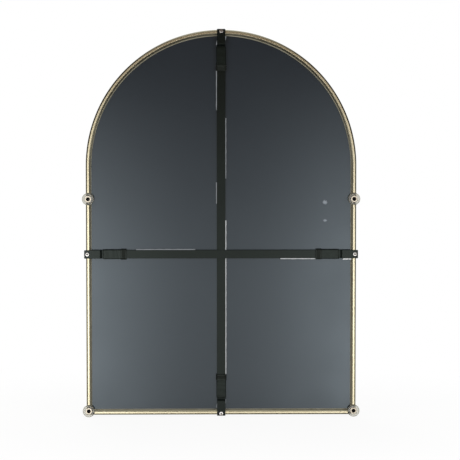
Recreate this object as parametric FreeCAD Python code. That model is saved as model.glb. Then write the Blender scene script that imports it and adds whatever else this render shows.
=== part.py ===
"""Arched wall mirror in a hollow metal frame, held from behind by two crossed safety straps.

Frame: +Z up, +X to the right of someone looking into the mirror, +Y towards the wall.
Origin: midway between the two upper wall sockets, on the plane of their mouths. Millimetres.
"""
import FreeCAD, Part
import math
import os

# Overall form
OUTER_WIDTH = 610.0
STRAIGHT_SIDE = 565.0
SOCKETS_BELOW_SPRING = 75.0

# Frame section
FRAME_FACE = 10.0
FRAME_DEPTH = 24.0
FRAME_WALL = 1.2
FRAME_EDGE_RADIUS = 1.8
LIP_WIDTH = 4.0
LIP_THICKNESS = 1.5
KEY_LEG = 42.0
KEY_CLEARANCE = 0.15

# Glass and what carries it
RECESS = 9.0
GLASS_THICKNESS = 4.6
SILVER_THICKNESS = 0.2
PAINT_THICKNESS = 0.2
COATING_MARGIN = 1.5
GASKET_THICKNESS = 1.0
GASKET_INSET = 0.3
GLASS_SIDE_CLEARANCE = 0.8
GLASS_DROP = 1.2
SETTING_BLOCK_LENGTH = 40.0
SETTING_BLOCK_HEIGHT = 0.8
SETTING_BLOCK_FROM_CORNER = 130.0
SIDE_BLOCK_LENGTH = 30.0
SIDE_BLOCK_FROM_END = 120.0
BLOCK_DEPTH = 4.0

# Straps, brackets, sleeves and keepers, with distances along a strap measured in from the frame's outer edge
STRAP_WIDTH = 19.0
STRAP_THICKNESS = 1.5
CROSS_STRAP_BELOW_SOCKETS = 125.0
BRACKET_THICKNESS = 2.0
SIDE_BRACKET_OVERHANG = 4.2
UPRIGHT_BRACKET_OVERHANG = 2.2
BRACKET_CORNER_RADIUS = 1.5
JOGGLE_AT = 31.0
JOGGLE_RUN = 5.0
LAP_CLEARANCE = 2.5
LAP_LENGTH = 46.0
SLEEVE_LENGTH = 53.0
SLEEVE_WALL = 1.0
SLEEVE_CLEARANCE = 0.3
SLEEVE_EDGE_RADIUS = 1.2
KEEPER_LENGTH = 13.0
KEEPER_WALL = 1.2
KEEPER_EDGE_RADIUS = 1.6
RIVET_RADIUS = 2.0
RIVET_HEAD_RADIUS = 3.2
RIVET_HEAD_DEPTH = 1.0
RIVET_FROM_LAP_END = 10.0
FIT_CLEARANCE = 0.05

# Bracket screws
SCREW_INSET = 2.8
SCREW_HEAD_RADIUS = 4.0
SCREW_HEAD_HEIGHT = 2.4
SCREW_RIM_HEIGHT = 0.8
SCREW_SHANK_RADIUS = 1.45
SCREW_TIP_LENGTH = 2.0
SCREW_LENGTH = 10.0
SCREW_HOLE_CLEARANCE = 0.25
CROSS_SPAN = 4.2
CROSS_SLOT = 0.9
CROSS_DEPTH = 1.3

# Foam under the straps
FOAM_WIDTH = 19.0
FOAM_THICKNESS = 3.0
FOAM_OFFSET = 2.2
FOAM_FROM_SLEEVE = 0.5
UPPER_STRIP_LENGTHS = (88.0, 136.0, 48.0)
UPPER_STRIP_GAPS = (18.0, 9.0)
LOWER_STRIP_GAP = 38.0
RIGHT_STRIP_FROM_CROSSING = 49.0
RIGHT_STRIP_FROM_SLEEVE = 21.0
LEFT_STRIP_LENGTH = 79.0
PAD_CLEARANCE = 1.0
PAD_OFFSET = 3.2
THIN_PAD_SKEW = 12.0

# Wall bumpers and socket eyelets
CORNER_SOCKET_RISE = 9.0
BUMPER_RADIUS = 13.5
BUMPER_HEIGHT = 6.0
BUMPER_EDGE_RADIUS = 1.8
EYELET_RECESS = 0.6
EYELET_FLANGE_RADIUS = 7.5
EYELET_FLANGE_THICKNESS = 0.8
EYELET_BARREL_RADIUS = 3.5
EYELET_BORE_RADIUS = 3.1
EYELET_TAIL = 1.5
EYELET_SEAT_CLEARANCE = 0.3
SOCKET_ROOM = 0.4
PEG_ROOM = 8.0

# Worked-out planes and lines
OUTER_RADIUS = OUTER_WIDTH / 2
SPRING_Z = SOCKETS_BELOW_SPRING
SILL_Z = SPRING_Z - STRAIGHT_SIDE
TOP_Z = SPRING_Z + OUTER_RADIUS
CROSS_STRAP_Z = -CROSS_STRAP_BELOW_SOCKETS
BUMPER_REAR_Y = EYELET_RECESS
FRAME_BACK_Y = BUMPER_REAR_Y - BUMPER_HEIGHT
FRAME_FRONT_Y = FRAME_BACK_Y - FRAME_DEPTH
PAINT_BACK_Y = FRAME_BACK_Y - RECESS
SILVER_BACK_Y = PAINT_BACK_Y - PAINT_THICKNESS
GLASS_BACK_Y = SILVER_BACK_Y - SILVER_THICKNESS
GLASS_FRONT_Y = GLASS_BACK_Y - GLASS_THICKNESS
LIP_REAR_Y = GLASS_FRONT_Y - GASKET_THICKNESS
LIP_FRONT_Y = LIP_REAR_Y - LIP_THICKNESS
EYELET_END_Y = FRAME_BACK_Y - FRAME_WALL - EYELET_TAIL
SOCKET_INSET = FRAME_FACE / 2
SOCKET_X = OUTER_RADIUS - SOCKET_INSET
CORNER_SOCKET_Z = SILL_Z + CORNER_SOCKET_RISE
GLASS_HALF_WIDTH = OUTER_RADIUS - FRAME_FACE - GLASS_SIDE_CLEARANCE
GLASS_SPRING_Z = SPRING_Z - GLASS_DROP
GLASS_FOOT_Z = SILL_Z + FRAME_FACE + SETTING_BLOCK_HEIGHT
LAP_START = JOGGLE_AT + JOGGLE_RUN + LAP_CLEARANCE
LAP_END = LAP_START + LAP_LENGTH
SLEEVE_END = LAP_START + SLEEVE_LENGTH
VERTICAL_STRAP_FRONT_Y = PAINT_BACK_Y + FOAM_THICKNESS
HORIZONTAL_STRAP_FRONT_Y = VERTICAL_STRAP_FRONT_Y + STRAP_THICKNESS

DEPTH_AXIS = FreeCAD.Vector(0, 1, 0)
ORIGIN = FreeCAD.Vector(0, 0, 0)
SOCKETS = {
    "right_side": (SOCKET_X, 0.0),
    "left_side": (-SOCKET_X, 0.0),
    "right_corner": (SOCKET_X, CORNER_SOCKET_Z),
    "left_corner": (-SOCKET_X, CORNER_SOCKET_Z),
}


def vec(x, y, z):
    """Short name for a point or direction."""
    return FreeCAD.Vector(x, y, z)


def box(low, high):
    """Box between two opposite corners."""
    size = high - low
    return Part.makeBox(size.x, size.y, size.z, low)


def rod(radius, x, z, y_from, y_to):
    """Cylinder along the depth axis, from one depth to a greater one."""
    return Part.makeCylinder(radius, y_to - y_from, vec(x, y_from, z), DEPTH_AXIS)


def turned(profile, x, z):
    """Solid of revolution about a depth axis; the profile is a list of (radius, depth) points."""
    points = [vec(radius, depth, 0) for radius, depth in profile]
    face = Part.Face(Part.makePolygon(points + points[:1]))
    solid = face.revolve(ORIGIN, DEPTH_AXIS, 360)
    solid.translate(vec(x, 0, z))
    return solid


def fillet(solid, radius, wanted):
    """Round the edges that a test picks out."""
    return solid.makeFillet(radius, [edge for edge in solid.Edges if wanted(edge)])


def export(node, shapes):
    """Write one node, a solid or a group of separate solids."""
    shape = shapes[0] if len(shapes) == 1 else Part.makeCompound(shapes)
    shape.exportStep(f"parts/{node}.step")


def arch_plate(half_width, spring_z, foot_z, y_from, y_to):
    """Plate with a square foot and a half-round top."""
    foot_right = vec(half_width, y_from, foot_z)
    spring_right = vec(half_width, y_from, spring_z)
    crown = vec(0, y_from, spring_z + half_width)
    spring_left = vec(-half_width, y_from, spring_z)
    foot_left = vec(-half_width, y_from, foot_z)
    edges = [
        Part.makeLine(foot_left, foot_right),
        Part.makeLine(foot_right, spring_right),
        Part.Arc(spring_right, crown, spring_left).toShape(),
        Part.makeLine(spring_left, foot_left),
    ]
    return Part.Face(Part.Wire(edges)).extrude(vec(0, y_to - y_from, 0))


def frame_section():
    """Hollow frame section with a lip, in the plane of X and depth; its outer edge is at X = 0."""
    inner = FRAME_FACE
    lip = FRAME_FACE + LIP_WIDTH
    outline = [
        vec(0, FRAME_FRONT_Y, 0),
        vec(inner, FRAME_FRONT_Y, 0),
        vec(inner, LIP_FRONT_Y, 0),
        vec(lip, LIP_FRONT_Y, 0),
        vec(lip, LIP_REAR_Y, 0),
        vec(inner, LIP_REAR_Y, 0),
        vec(inner, FRAME_BACK_Y, 0),
        vec(0, FRAME_BACK_Y, 0),
    ]
    hollow = [
        vec(FRAME_WALL, FRAME_FRONT_Y + FRAME_WALL, 0),
        vec(inner - FRAME_WALL, FRAME_FRONT_Y + FRAME_WALL, 0),
        vec(inner - FRAME_WALL, FRAME_BACK_Y - FRAME_WALL, 0),
        vec(FRAME_WALL, FRAME_BACK_Y - FRAME_WALL, 0),
    ]
    outer_wire = Part.makePolygon(outline + outline[:1])
    hollow_wire = Part.makePolygon(hollow + hollow[:1])
    return Part.Face(outer_wire).cut(Part.Face(hollow_wire)).Faces[0]


def frame_edge_rounded(solid):
    """Round the four long edges of a frame length, front and back."""
    def long_corner(edge):
        """True for an edge along the length, at the front or back plane."""
        box_of = edge.BoundBox
        flat = box_of.YLength < FIT_CLEARANCE
        at_front = abs(box_of.YMin - FRAME_FRONT_Y) < FIT_CLEARANCE
        at_back = abs(box_of.YMin - FRAME_BACK_Y) < FIT_CLEARANCE
        length = max(box_of.XLength, box_of.ZLength)
        return flat and (at_front or at_back) and length > FRAME_FACE + LIP_WIDTH
    return fillet(solid, FRAME_EDGE_RADIUS, long_corner)


def mitre_wedge():
    """Prism that holds the sill, with ends at 45 degrees through the frame's lower corners."""
    rise = 2 * (FRAME_FACE + LIP_WIDTH)
    margin = FRAME_DEPTH
    y_from = FRAME_FRONT_Y - margin
    corners = [
        vec(-OUTER_RADIUS - margin, y_from, SILL_Z - margin),
        vec(OUTER_RADIUS + margin, y_from, SILL_Z - margin),
        vec(OUTER_RADIUS - rise, y_from, SILL_Z + rise),
        vec(-OUTER_RADIUS + rise, y_from, SILL_Z + rise),
    ]
    face = Part.Face(Part.makePolygon(corners + corners[:1]))
    return face.extrude(vec(0, FRAME_DEPTH + 2 * margin, 0))


def frame_tools():
    """Holes that the eyelets and the bracket screws need in the frame."""
    tools = []
    for x, z in SOCKETS.values():
        bore = EYELET_BARREL_RADIUS + FIT_CLEARANCE
        tools.append(rod(bore, x, z, EYELET_END_Y - SOCKET_ROOM, FRAME_BACK_Y + FRAME_WALL))
    for end in STRAP_ENDS.values():
        pilot = rod(SCREW_SHANK_RADIUS + FIT_CLEARANCE, SCREW_INSET, 0,
                    FRAME_BACK_Y - SCREW_LENGTH, FRAME_BACK_Y + FRAME_WALL)
        tools.append(end.place(pilot))
    return Part.makeCompound(tools)


def make_frame():
    """The bent arch with its two sides, and the sill, mitred together."""
    section = frame_section()
    left = section.copy()
    left.translate(vec(-OUTER_RADIUS, 0, SILL_Z))
    left_side = left.extrude(vec(0, 0, STRAIGHT_SIDE))
    at_spring = section.copy()
    at_spring.translate(vec(-OUTER_RADIUS, 0, SPRING_Z))
    bend = at_spring.revolve(vec(0, 0, SPRING_Z), DEPTH_AXIS, 180)
    right_side = left_side.mirror(ORIGIN, vec(1, 0, 0))
    arch = left_side.fuse([bend, right_side]).removeSplitter()
    upright = section.copy()
    upright.rotate(ORIGIN, DEPTH_AXIS, -90)
    upright.translate(vec(-OUTER_RADIUS, 0, SILL_Z))
    sill = upright.extrude(vec(OUTER_WIDTH, 0, 0))
    wedge = mitre_wedge()
    tools = frame_tools()
    arch = frame_edge_rounded(arch).cut(wedge).cut(tools)
    sill = frame_edge_rounded(sill).common(wedge).cut(tools)
    return arch.Solids[0], sill.Solids[0]


def make_corner_key(side):
    """Angle key in the front of a mitred corner, clear of the wall peg; side is 1 right, -1 left."""
    gap = FRAME_WALL + KEY_CLEARANCE
    inner = FRAME_FACE - gap
    y_from = FRAME_FRONT_Y + gap
    y_to = EYELET_END_Y - PEG_ROOM
    foot = box(vec(OUTER_RADIUS - KEY_LEG, y_from, SILL_Z + gap),
               vec(OUTER_RADIUS - gap, y_to, SILL_Z + inner))
    post = box(vec(OUTER_RADIUS - inner, y_from, SILL_Z + gap),
               vec(OUTER_RADIUS - gap, y_to, SILL_Z + KEY_LEG))
    key = foot.fuse(post).removeSplitter()
    return key if side > 0 else key.mirror(ORIGIN, vec(1, 0, 0))


def make_glass_stack():
    """Glass, silvering and back paint, and the gasket that the glass lies on."""
    coating_half = GLASS_HALF_WIDTH - COATING_MARGIN
    coating_foot = GLASS_FOOT_Z + COATING_MARGIN
    lip_half = OUTER_RADIUS - FRAME_FACE - GASKET_INSET
    opening_half = OUTER_RADIUS - FRAME_FACE - LIP_WIDTH + GASKET_INSET
    gasket = arch_plate(lip_half, SPRING_Z, SILL_Z + OUTER_RADIUS - lip_half, LIP_REAR_Y, GLASS_FRONT_Y)
    opening = arch_plate(opening_half, SPRING_Z, SILL_Z + OUTER_RADIUS - opening_half,
                         LIP_REAR_Y, GLASS_FRONT_Y)
    return {
        "mirror_glass": arch_plate(GLASS_HALF_WIDTH, GLASS_SPRING_Z, GLASS_FOOT_Z,
                                   GLASS_FRONT_Y, GLASS_BACK_Y),
        "silvering": arch_plate(coating_half, GLASS_SPRING_Z, coating_foot, GLASS_BACK_Y, SILVER_BACK_Y),
        "back_paint": arch_plate(coating_half, GLASS_SPRING_Z, coating_foot, SILVER_BACK_Y, PAINT_BACK_Y),
        "glazing_gasket": gasket.cut(opening),
    }


def make_setting_blocks():
    """Blocks on the sill that carry the weight of the glass."""
    blocks = []
    for side in (-1, 1):
        centre = side * (GLASS_HALF_WIDTH - SETTING_BLOCK_FROM_CORNER)
        low = vec(centre - SETTING_BLOCK_LENGTH / 2, GLASS_FRONT_Y, SILL_Z + FRAME_FACE)
        high = vec(centre + SETTING_BLOCK_LENGTH / 2, GLASS_FRONT_Y + BLOCK_DEPTH, GLASS_FOOT_Z)
        blocks.append(box(low, high))
    return blocks


def make_side_blocks():
    """Blocks between the glass edges and the frame's straight sides."""
    blocks = []
    for centre in (SILL_Z + SIDE_BLOCK_FROM_END, GLASS_SPRING_Z - SIDE_BLOCK_FROM_END):
        low = vec(GLASS_HALF_WIDTH, GLASS_FRONT_Y, centre - SIDE_BLOCK_LENGTH / 2)
        high = vec(OUTER_RADIUS - FRAME_FACE, GLASS_FRONT_Y + BLOCK_DEPTH, centre + SIDE_BLOCK_LENGTH / 2)
        block = box(low, high)
        blocks += [block, block.mirror(ORIGIN, vec(1, 0, 0))]
    return blocks


class StrapEnd:
    """One of the four places where a strap meets the frame.

    Its pieces are drawn with X running in from the frame's outer edge, Y the depth and Z across the strap,
    and place() turns and moves them to their side of the frame.
    """

    def __init__(self, x, z, turn, strap_front_y, overhang):
        self.corner = vec(x, 0, z)
        self.turn = turn
        self.strap_front_y = strap_front_y
        self.strap_back_y = strap_front_y + STRAP_THICKNESS
        self.overhang = overhang

    def place(self, shape):
        """Turn a shape about the depth axis and move it to this end."""
        placed = shape.copy()
        placed.rotate(ORIGIN, DEPTH_AXIS, self.turn)
        placed.translate(self.corner)
        return placed

    def rivets(self, clearance=0.0):
        """Flush rivets through bracket and strap, with heads sunk in the bracket."""
        head_back = self.strap_back_y + BRACKET_THICKNESS
        profile = [
            (0, self.strap_front_y),
            (RIVET_RADIUS + clearance, self.strap_front_y),
            (RIVET_RADIUS + clearance, head_back - RIVET_HEAD_DEPTH),
            (RIVET_HEAD_RADIUS + clearance, head_back),
            (0, head_back),
        ]
        stations = (LAP_START + RIVET_FROM_LAP_END, LAP_END - RIVET_FROM_LAP_END)
        return [self.place(turned(profile, station, 0)) for station in stations]

    def bracket(self):
        """Plate on the frame's back that steps down to lap over the strap."""
        drop = FRAME_BACK_Y - self.strap_back_y
        slope = math.atan2(drop, JOGGLE_RUN)
        shift = BRACKET_THICKNESS * math.tan(slope / 2)
        front = [
            (-self.overhang, FRAME_BACK_Y),
            (JOGGLE_AT, FRAME_BACK_Y),
            (JOGGLE_AT + JOGGLE_RUN, self.strap_back_y),
            (LAP_END, self.strap_back_y),
        ]
        back = [
            (LAP_END, self.strap_back_y + BRACKET_THICKNESS),
            (JOGGLE_AT + JOGGLE_RUN + shift, self.strap_back_y + BRACKET_THICKNESS),
            (JOGGLE_AT + shift, FRAME_BACK_Y + BRACKET_THICKNESS),
            (-self.overhang, FRAME_BACK_Y + BRACKET_THICKNESS),
        ]
        points = [vec(along, depth, -STRAP_WIDTH / 2) for along, depth in front + back]
        plate = Part.Face(Part.makePolygon(points + points[:1])).extrude(vec(0, 0, STRAP_WIDTH))

        def outer_corner(edge):
            """True for the two short edges at the overhanging end."""
            bounds = edge.BoundBox
            return bounds.XMax < FIT_CLEARANCE - self.overhang and bounds.ZLength < FIT_CLEARANCE
        plate = fillet(plate, BRACKET_CORNER_RADIUS, outer_corner)
        hole = rod(SCREW_SHANK_RADIUS + SCREW_HOLE_CLEARANCE, SCREW_INSET, 0,
                   FRAME_BACK_Y - BRACKET_THICKNESS, FRAME_BACK_Y + 2 * BRACKET_THICKNESS)
        return self.place(plate.cut(hole)).cut(self.rivets(FIT_CLEARANCE))

    def sleeve(self):
        """Tube of flat section over the lap, open at both ends."""
        room = SLEEVE_CLEARANCE
        wall = SLEEVE_WALL
        half = STRAP_WIDTH / 2 + room
        y_from = self.strap_front_y - room
        y_to = self.strap_back_y + BRACKET_THICKNESS + room
        outside = box(vec(LAP_START, y_from - wall, -half - wall), vec(SLEEVE_END, y_to + wall, half + wall))
        outside = fillet(outside, SLEEVE_EDGE_RADIUS, lambda edge: edge.BoundBox.XLength > SLEEVE_WALL)
        inside = box(vec(LAP_START - wall, y_from, -half), vec(SLEEVE_END + wall, y_to, half))
        return self.place(outside.cut(inside))

    def keeper(self):
        """Moulded band around the inner end of the sleeve."""
        wall = KEEPER_WALL
        room = SLEEVE_CLEARANCE + SLEEVE_WALL
        half = STRAP_WIDTH / 2 + room
        y_from = self.strap_front_y - room
        y_to = self.strap_back_y + BRACKET_THICKNESS + room
        start = SLEEVE_END - KEEPER_LENGTH
        outside = box(vec(start, y_from - wall, -half - wall), vec(SLEEVE_END, y_to + wall, half + wall))
        outside = fillet(outside, KEEPER_EDGE_RADIUS, lambda edge: edge.BoundBox.XLength > KEEPER_WALL)
        inside = box(vec(start - wall, y_from, -half), vec(SLEEVE_END + wall, y_to, half))
        return self.place(outside.cut(inside))

    def thin_pad(self):
        """Thin foam on the glass under the bracket, laid a little askew between frame and lap."""
        skew = math.radians(THIN_PAD_SKEW)
        room = LAP_START - FRAME_FACE - 2 * PAD_CLEARANCE
        half_length = (room - FOAM_WIDTH * math.sin(skew)) / math.cos(skew) / 2
        pad = box(vec(-half_length, PAINT_BACK_Y, -FOAM_WIDTH / 2),
                  vec(half_length, PAINT_BACK_Y + FOAM_THICKNESS, FOAM_WIDTH / 2))
        pad.rotate(ORIGIN, DEPTH_AXIS, -THIN_PAD_SKEW)
        pad.translate(vec((FRAME_FACE + LAP_START) / 2, 0, 0))
        return self.place(pad)

    def screw(self):
        """Pan-head self-tapping screw through the bracket into the frame's back wall."""
        seat = FRAME_BACK_Y + BRACKET_THICKNESS
        top = seat + SCREW_HEAD_HEIGHT
        rise = SCREW_HEAD_HEIGHT - SCREW_RIM_HEIGHT
        dome = (SCREW_HEAD_RADIUS ** 2 + rise ** 2) / (2 * rise)
        half_angle = math.asin(SCREW_HEAD_RADIUS / dome) / 2
        rim = vec(SCREW_HEAD_RADIUS, seat + SCREW_RIM_HEIGHT, 0)
        crown = vec(0, top, 0)
        shoulder = vec(dome * math.sin(half_angle), top - dome * (1 - math.cos(half_angle)), 0)
        tip = vec(0, FRAME_BACK_Y - SCREW_LENGTH, 0)
        neck = vec(SCREW_SHANK_RADIUS, FRAME_BACK_Y - SCREW_LENGTH + SCREW_TIP_LENGTH, 0)
        under_head = vec(SCREW_SHANK_RADIUS, seat, 0)
        head_edge = vec(SCREW_HEAD_RADIUS, seat, 0)
        edges = [
            Part.makeLine(crown, tip),
            Part.makeLine(tip, neck),
            Part.makeLine(neck, under_head),
            Part.makeLine(under_head, head_edge),
            Part.makeLine(head_edge, rim),
            Part.Arc(rim, shoulder, crown).toShape(),
        ]
        body = Part.Face(Part.Wire(edges)).revolve(ORIGIN, DEPTH_AXIS, 360)
        slots = []
        for long_x, long_z in ((CROSS_SPAN, CROSS_SLOT), (CROSS_SLOT, CROSS_SPAN)):
            slots.append(box(vec(-long_x / 2, top - CROSS_DEPTH, -long_z / 2),
                             vec(long_x / 2, top, long_z / 2)))
        body = body.cut(slots)
        body.translate(vec(SCREW_INSET, 0, 0))
        return self.place(body)


STRAP_ENDS = {
    "right": StrapEnd(OUTER_RADIUS, CROSS_STRAP_Z, 180, HORIZONTAL_STRAP_FRONT_Y, SIDE_BRACKET_OVERHANG),
    "left": StrapEnd(-OUTER_RADIUS, CROSS_STRAP_Z, 0, HORIZONTAL_STRAP_FRONT_Y, SIDE_BRACKET_OVERHANG),
    "top": StrapEnd(0, TOP_Z, 90, VERTICAL_STRAP_FRONT_Y, UPRIGHT_BRACKET_OVERHANG),
    "bottom": StrapEnd(0, SILL_Z, -90, VERTICAL_STRAP_FRONT_Y, UPRIGHT_BRACKET_OVERHANG),
}


def make_straps():
    """The two crossed straps, drilled for their rivets."""
    half = STRAP_WIDTH / 2
    vertical = box(vec(-half, VERTICAL_STRAP_FRONT_Y, SILL_Z + LAP_START),
                   vec(half, VERTICAL_STRAP_FRONT_Y + STRAP_THICKNESS, TOP_Z - LAP_START))
    reach = OUTER_RADIUS - LAP_START
    horizontal = box(vec(-reach, HORIZONTAL_STRAP_FRONT_Y, CROSS_STRAP_Z - half),
                     vec(reach, HORIZONTAL_STRAP_FRONT_Y + STRAP_THICKNESS, CROSS_STRAP_Z + half))
    for name in ("top", "bottom"):
        vertical = vertical.cut(STRAP_ENDS[name].rivets(FIT_CLEARANCE))
    for name in ("left", "right"):
        horizontal = horizontal.cut(STRAP_ENDS[name].rivets(FIT_CLEARANCE))
    return vertical, horizontal


def make_foam():
    """Foam between the straps and the painted glass, each length set off to one side."""
    half = FOAM_WIDTH / 2
    strips = {}

    def upright(name, z_low, z_high, side):
        """Length under the vertical strap."""
        offset = side * FOAM_OFFSET
        strips[name] = box(vec(offset - half, PAINT_BACK_Y, z_low),
                           vec(offset + half, VERTICAL_STRAP_FRONT_Y, z_high))

    def level(name, x_low, x_high, shift, y_to):
        """Length under the horizontal strap."""
        centre = CROSS_STRAP_Z + shift
        strips[name] = box(vec(x_low, PAINT_BACK_Y, centre - half), vec(x_high, y_to, centre + half))

    z_high = TOP_Z - SLEEVE_END - FOAM_FROM_SLEEVE
    side = 1
    gaps = UPPER_STRIP_GAPS + (LOWER_STRIP_GAP,)
    for number, (length, gap) in enumerate(zip(UPPER_STRIP_LENGTHS, gaps), 1):
        upright(f"foam_strip_upper_{number}", z_high - length, z_high, side)
        z_high -= length + gap
        side = -side
    upright("foam_strip_lower", SILL_Z + SLEEVE_END + FOAM_FROM_SLEEVE, z_high, side)

    sleeve_x = OUTER_RADIUS - SLEEVE_END
    crossing = STRAP_WIDTH / 2
    level("foam_strip_right", crossing + RIGHT_STRIP_FROM_CROSSING, sleeve_x - RIGHT_STRIP_FROM_SLEEVE,
          FOAM_OFFSET, HORIZONTAL_STRAP_FRONT_Y)
    left_end = FOAM_FROM_SLEEVE - sleeve_x
    level("foam_strip_left", left_end, left_end + LEFT_STRIP_LENGTH, -FOAM_OFFSET, HORIZONTAL_STRAP_FRONT_Y)
    pad_end = JOGGLE_AT - PAD_CLEARANCE - OUTER_RADIUS
    level("foam_pad_left", FRAME_FACE + PAD_CLEARANCE - OUTER_RADIUS, pad_end, -PAD_OFFSET, FRAME_BACK_Y)
    for name in ("top", "bottom"):
        strips[f"foam_pad_{name}"] = STRAP_ENDS[name].thin_pad()
    return strips


def make_bumper(x, z):
    """Clear disc on the frame's back, sunk at its middle for the eyelet's flange."""
    hole = EYELET_BARREL_RADIUS + FIT_CLEARANCE
    seat = EYELET_FLANGE_RADIUS + EYELET_SEAT_CLEARANCE
    profile = [
        (hole, FRAME_BACK_Y),
        (BUMPER_RADIUS, FRAME_BACK_Y),
        (BUMPER_RADIUS, BUMPER_REAR_Y),
        (seat, BUMPER_REAR_Y),
        (seat, -EYELET_FLANGE_THICKNESS),
        (hole, -EYELET_FLANGE_THICKNESS),
    ]
    disc = turned(profile, x, z)

    def rear_rim(edge):
        """True for the outer edge at the wall."""
        bounds = edge.BoundBox
        return bounds.YMin > BUMPER_REAR_Y - FIT_CLEARANCE and bounds.XLength > 2 * seat + FIT_CLEARANCE
    return fillet(disc, BUMPER_EDGE_RADIUS, rear_rim)


def make_eyelet(x, z):
    """Flanged metal socket through a bumper and the frame's back wall."""
    profile = [
        (EYELET_BORE_RADIUS, EYELET_END_Y),
        (EYELET_BARREL_RADIUS, EYELET_END_Y),
        (EYELET_BARREL_RADIUS, -EYELET_FLANGE_THICKNESS),
        (EYELET_FLANGE_RADIUS, -EYELET_FLANGE_THICKNESS),
        (EYELET_FLANGE_RADIUS, 0),
        (EYELET_BORE_RADIUS, 0),
    ]
    return turned(profile, x, z)


os.makedirs("parts", exist_ok=True)

frame_arch, frame_sill = make_frame()
export("frame_arch", [frame_arch])
export("frame_sill", [frame_sill])
export("corner_key_right", [make_corner_key(1)])
export("corner_key_left", [make_corner_key(-1)])
for node, solid in make_glass_stack().items():
    export(node, [solid])
export("setting_blocks", make_setting_blocks())
export("side_blocks", make_side_blocks())

strap_vertical, strap_horizontal = make_straps()
export("strap_vertical", [strap_vertical])
export("strap_horizontal", [strap_horizontal])
for name, end in STRAP_ENDS.items():
    export(f"end_bracket_{name}", [end.bracket()])
    export(f"sleeve_{name}", [end.sleeve()])
    export(f"keeper_{name}", [end.keeper()])
export("lap_rivets", [rivet for end in STRAP_ENDS.values() for rivet in end.rivets()])
export("bracket_screws", [end.screw() for end in STRAP_ENDS.values()])
for node, solid in make_foam().items():
    export(node, [solid])
for name, (x, z) in SOCKETS.items():
    export(f"bumper_{name}", [make_bumper(x, z)])
export("socket_eyelets", [make_eyelet(x, z) for x, z in SOCKETS.values()])
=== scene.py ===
"""Dresses an arched wall mirror, shown from behind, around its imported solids.

Row frame: +Z up, +Y out of the back towards the wall, +X to the right of someone looking into the mirror.
Shapes are worked out in millimetres and go into the meshes in metres.
"""
import logging
import math
from collections.abc import Sequence
from dataclasses import dataclass
from enum import Enum

import bmesh
import bpy
import numpy as np
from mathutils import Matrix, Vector


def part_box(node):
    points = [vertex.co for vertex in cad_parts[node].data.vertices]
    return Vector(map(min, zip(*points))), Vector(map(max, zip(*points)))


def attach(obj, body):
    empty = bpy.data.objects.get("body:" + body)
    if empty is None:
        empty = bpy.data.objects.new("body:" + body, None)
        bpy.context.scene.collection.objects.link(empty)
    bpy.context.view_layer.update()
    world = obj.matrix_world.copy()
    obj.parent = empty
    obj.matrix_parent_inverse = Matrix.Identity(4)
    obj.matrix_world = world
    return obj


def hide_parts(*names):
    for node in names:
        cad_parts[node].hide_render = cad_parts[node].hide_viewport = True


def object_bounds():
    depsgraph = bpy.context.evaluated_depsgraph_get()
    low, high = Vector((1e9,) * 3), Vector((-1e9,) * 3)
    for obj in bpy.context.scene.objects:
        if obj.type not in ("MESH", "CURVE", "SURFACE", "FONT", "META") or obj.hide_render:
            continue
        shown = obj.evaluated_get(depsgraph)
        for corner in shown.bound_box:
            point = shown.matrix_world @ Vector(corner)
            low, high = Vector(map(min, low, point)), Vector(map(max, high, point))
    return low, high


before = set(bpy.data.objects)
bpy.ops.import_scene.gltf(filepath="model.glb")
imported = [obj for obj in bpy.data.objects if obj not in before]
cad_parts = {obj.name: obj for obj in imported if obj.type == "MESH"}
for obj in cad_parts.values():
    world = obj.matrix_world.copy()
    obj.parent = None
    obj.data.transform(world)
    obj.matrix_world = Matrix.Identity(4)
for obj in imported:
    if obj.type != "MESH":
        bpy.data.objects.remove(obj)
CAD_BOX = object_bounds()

LOG = logging.getLogger("arched_mirror")
MM = 0.001
BODY = "root"
CHART = "along"
WELD_DISTANCE = 1e-6
# Smallest length that anything is divided by, and the crease angle of plainly turned and flat pieces
LEAST = 1e-9
PLAIN_CREASE = 30.0
PHOTO_PIXELS = 460

# Sockets of the mixing node, which carries one set for each kind of value
MIX_FACTOR = 0
MIX_LEVEL_A = 2
MIX_LEVEL_B = 3
MIX_A = 6
MIX_B = 7
MIX_COLOUR = 2

# Bands of a noise over which a tone and a roughness run from one end to the other
TONE_FROM = 0.35
TONE_TO = 0.65
ROUGH_FROM = 0.3
ROUGH_TO = 0.7


def linear(hex_colour: str) -> tuple[float, float, float, float]:
    """Turns an sRGB hex colour into linear light.

    Args:
        hex_colour: six hex digits after a hash sign.

    Returns:
        Linear red, green, blue and an alpha of 1.
    """
    srgb = np.array([int(hex_colour[i:i + 2], 16) for i in (1, 3, 5)]) / 255.0
    light = np.where(srgb <= 0.04045, srgb / 12.92, ((srgb + 0.055) / 1.055) ** 2.4)
    return (float(light[0]), float(light[1]), float(light[2]), 1.0)


def add_node(tree: bpy.types.NodeTree, kind: str, sockets: dict | None = None,
             **settings: object) -> bpy.types.Node:
    """Adds one node with its settings, its constants and its links.

    Args:
        tree: the node tree that takes the node.
        kind: Blender's name for the node.
        sockets: input name or number to a constant, or to the output that feeds it.
        settings: the node's own properties.

    Returns:
        The new node.
    """
    node = tree.nodes.new(kind)
    for name, value in settings.items():
        setattr(node, name, value)
    for name, value in (sockets or {}).items():
        if isinstance(value, bpy.types.NodeSocket):
            tree.links.new(value, node.inputs[name])
        else:
            node.inputs[name].default_value = value
    return node


def per_metre(size_mm: float) -> float:
    """Texture scale at which one period of a pattern is the given length in millimetres."""
    return 1.0 / (size_mm * MM)


def node_box(node: str) -> tuple[np.ndarray, np.ndarray]:
    """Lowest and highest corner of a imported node, in millimetres."""
    low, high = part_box(node)
    return np.array(low) / MM, np.array(high) / MM


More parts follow.
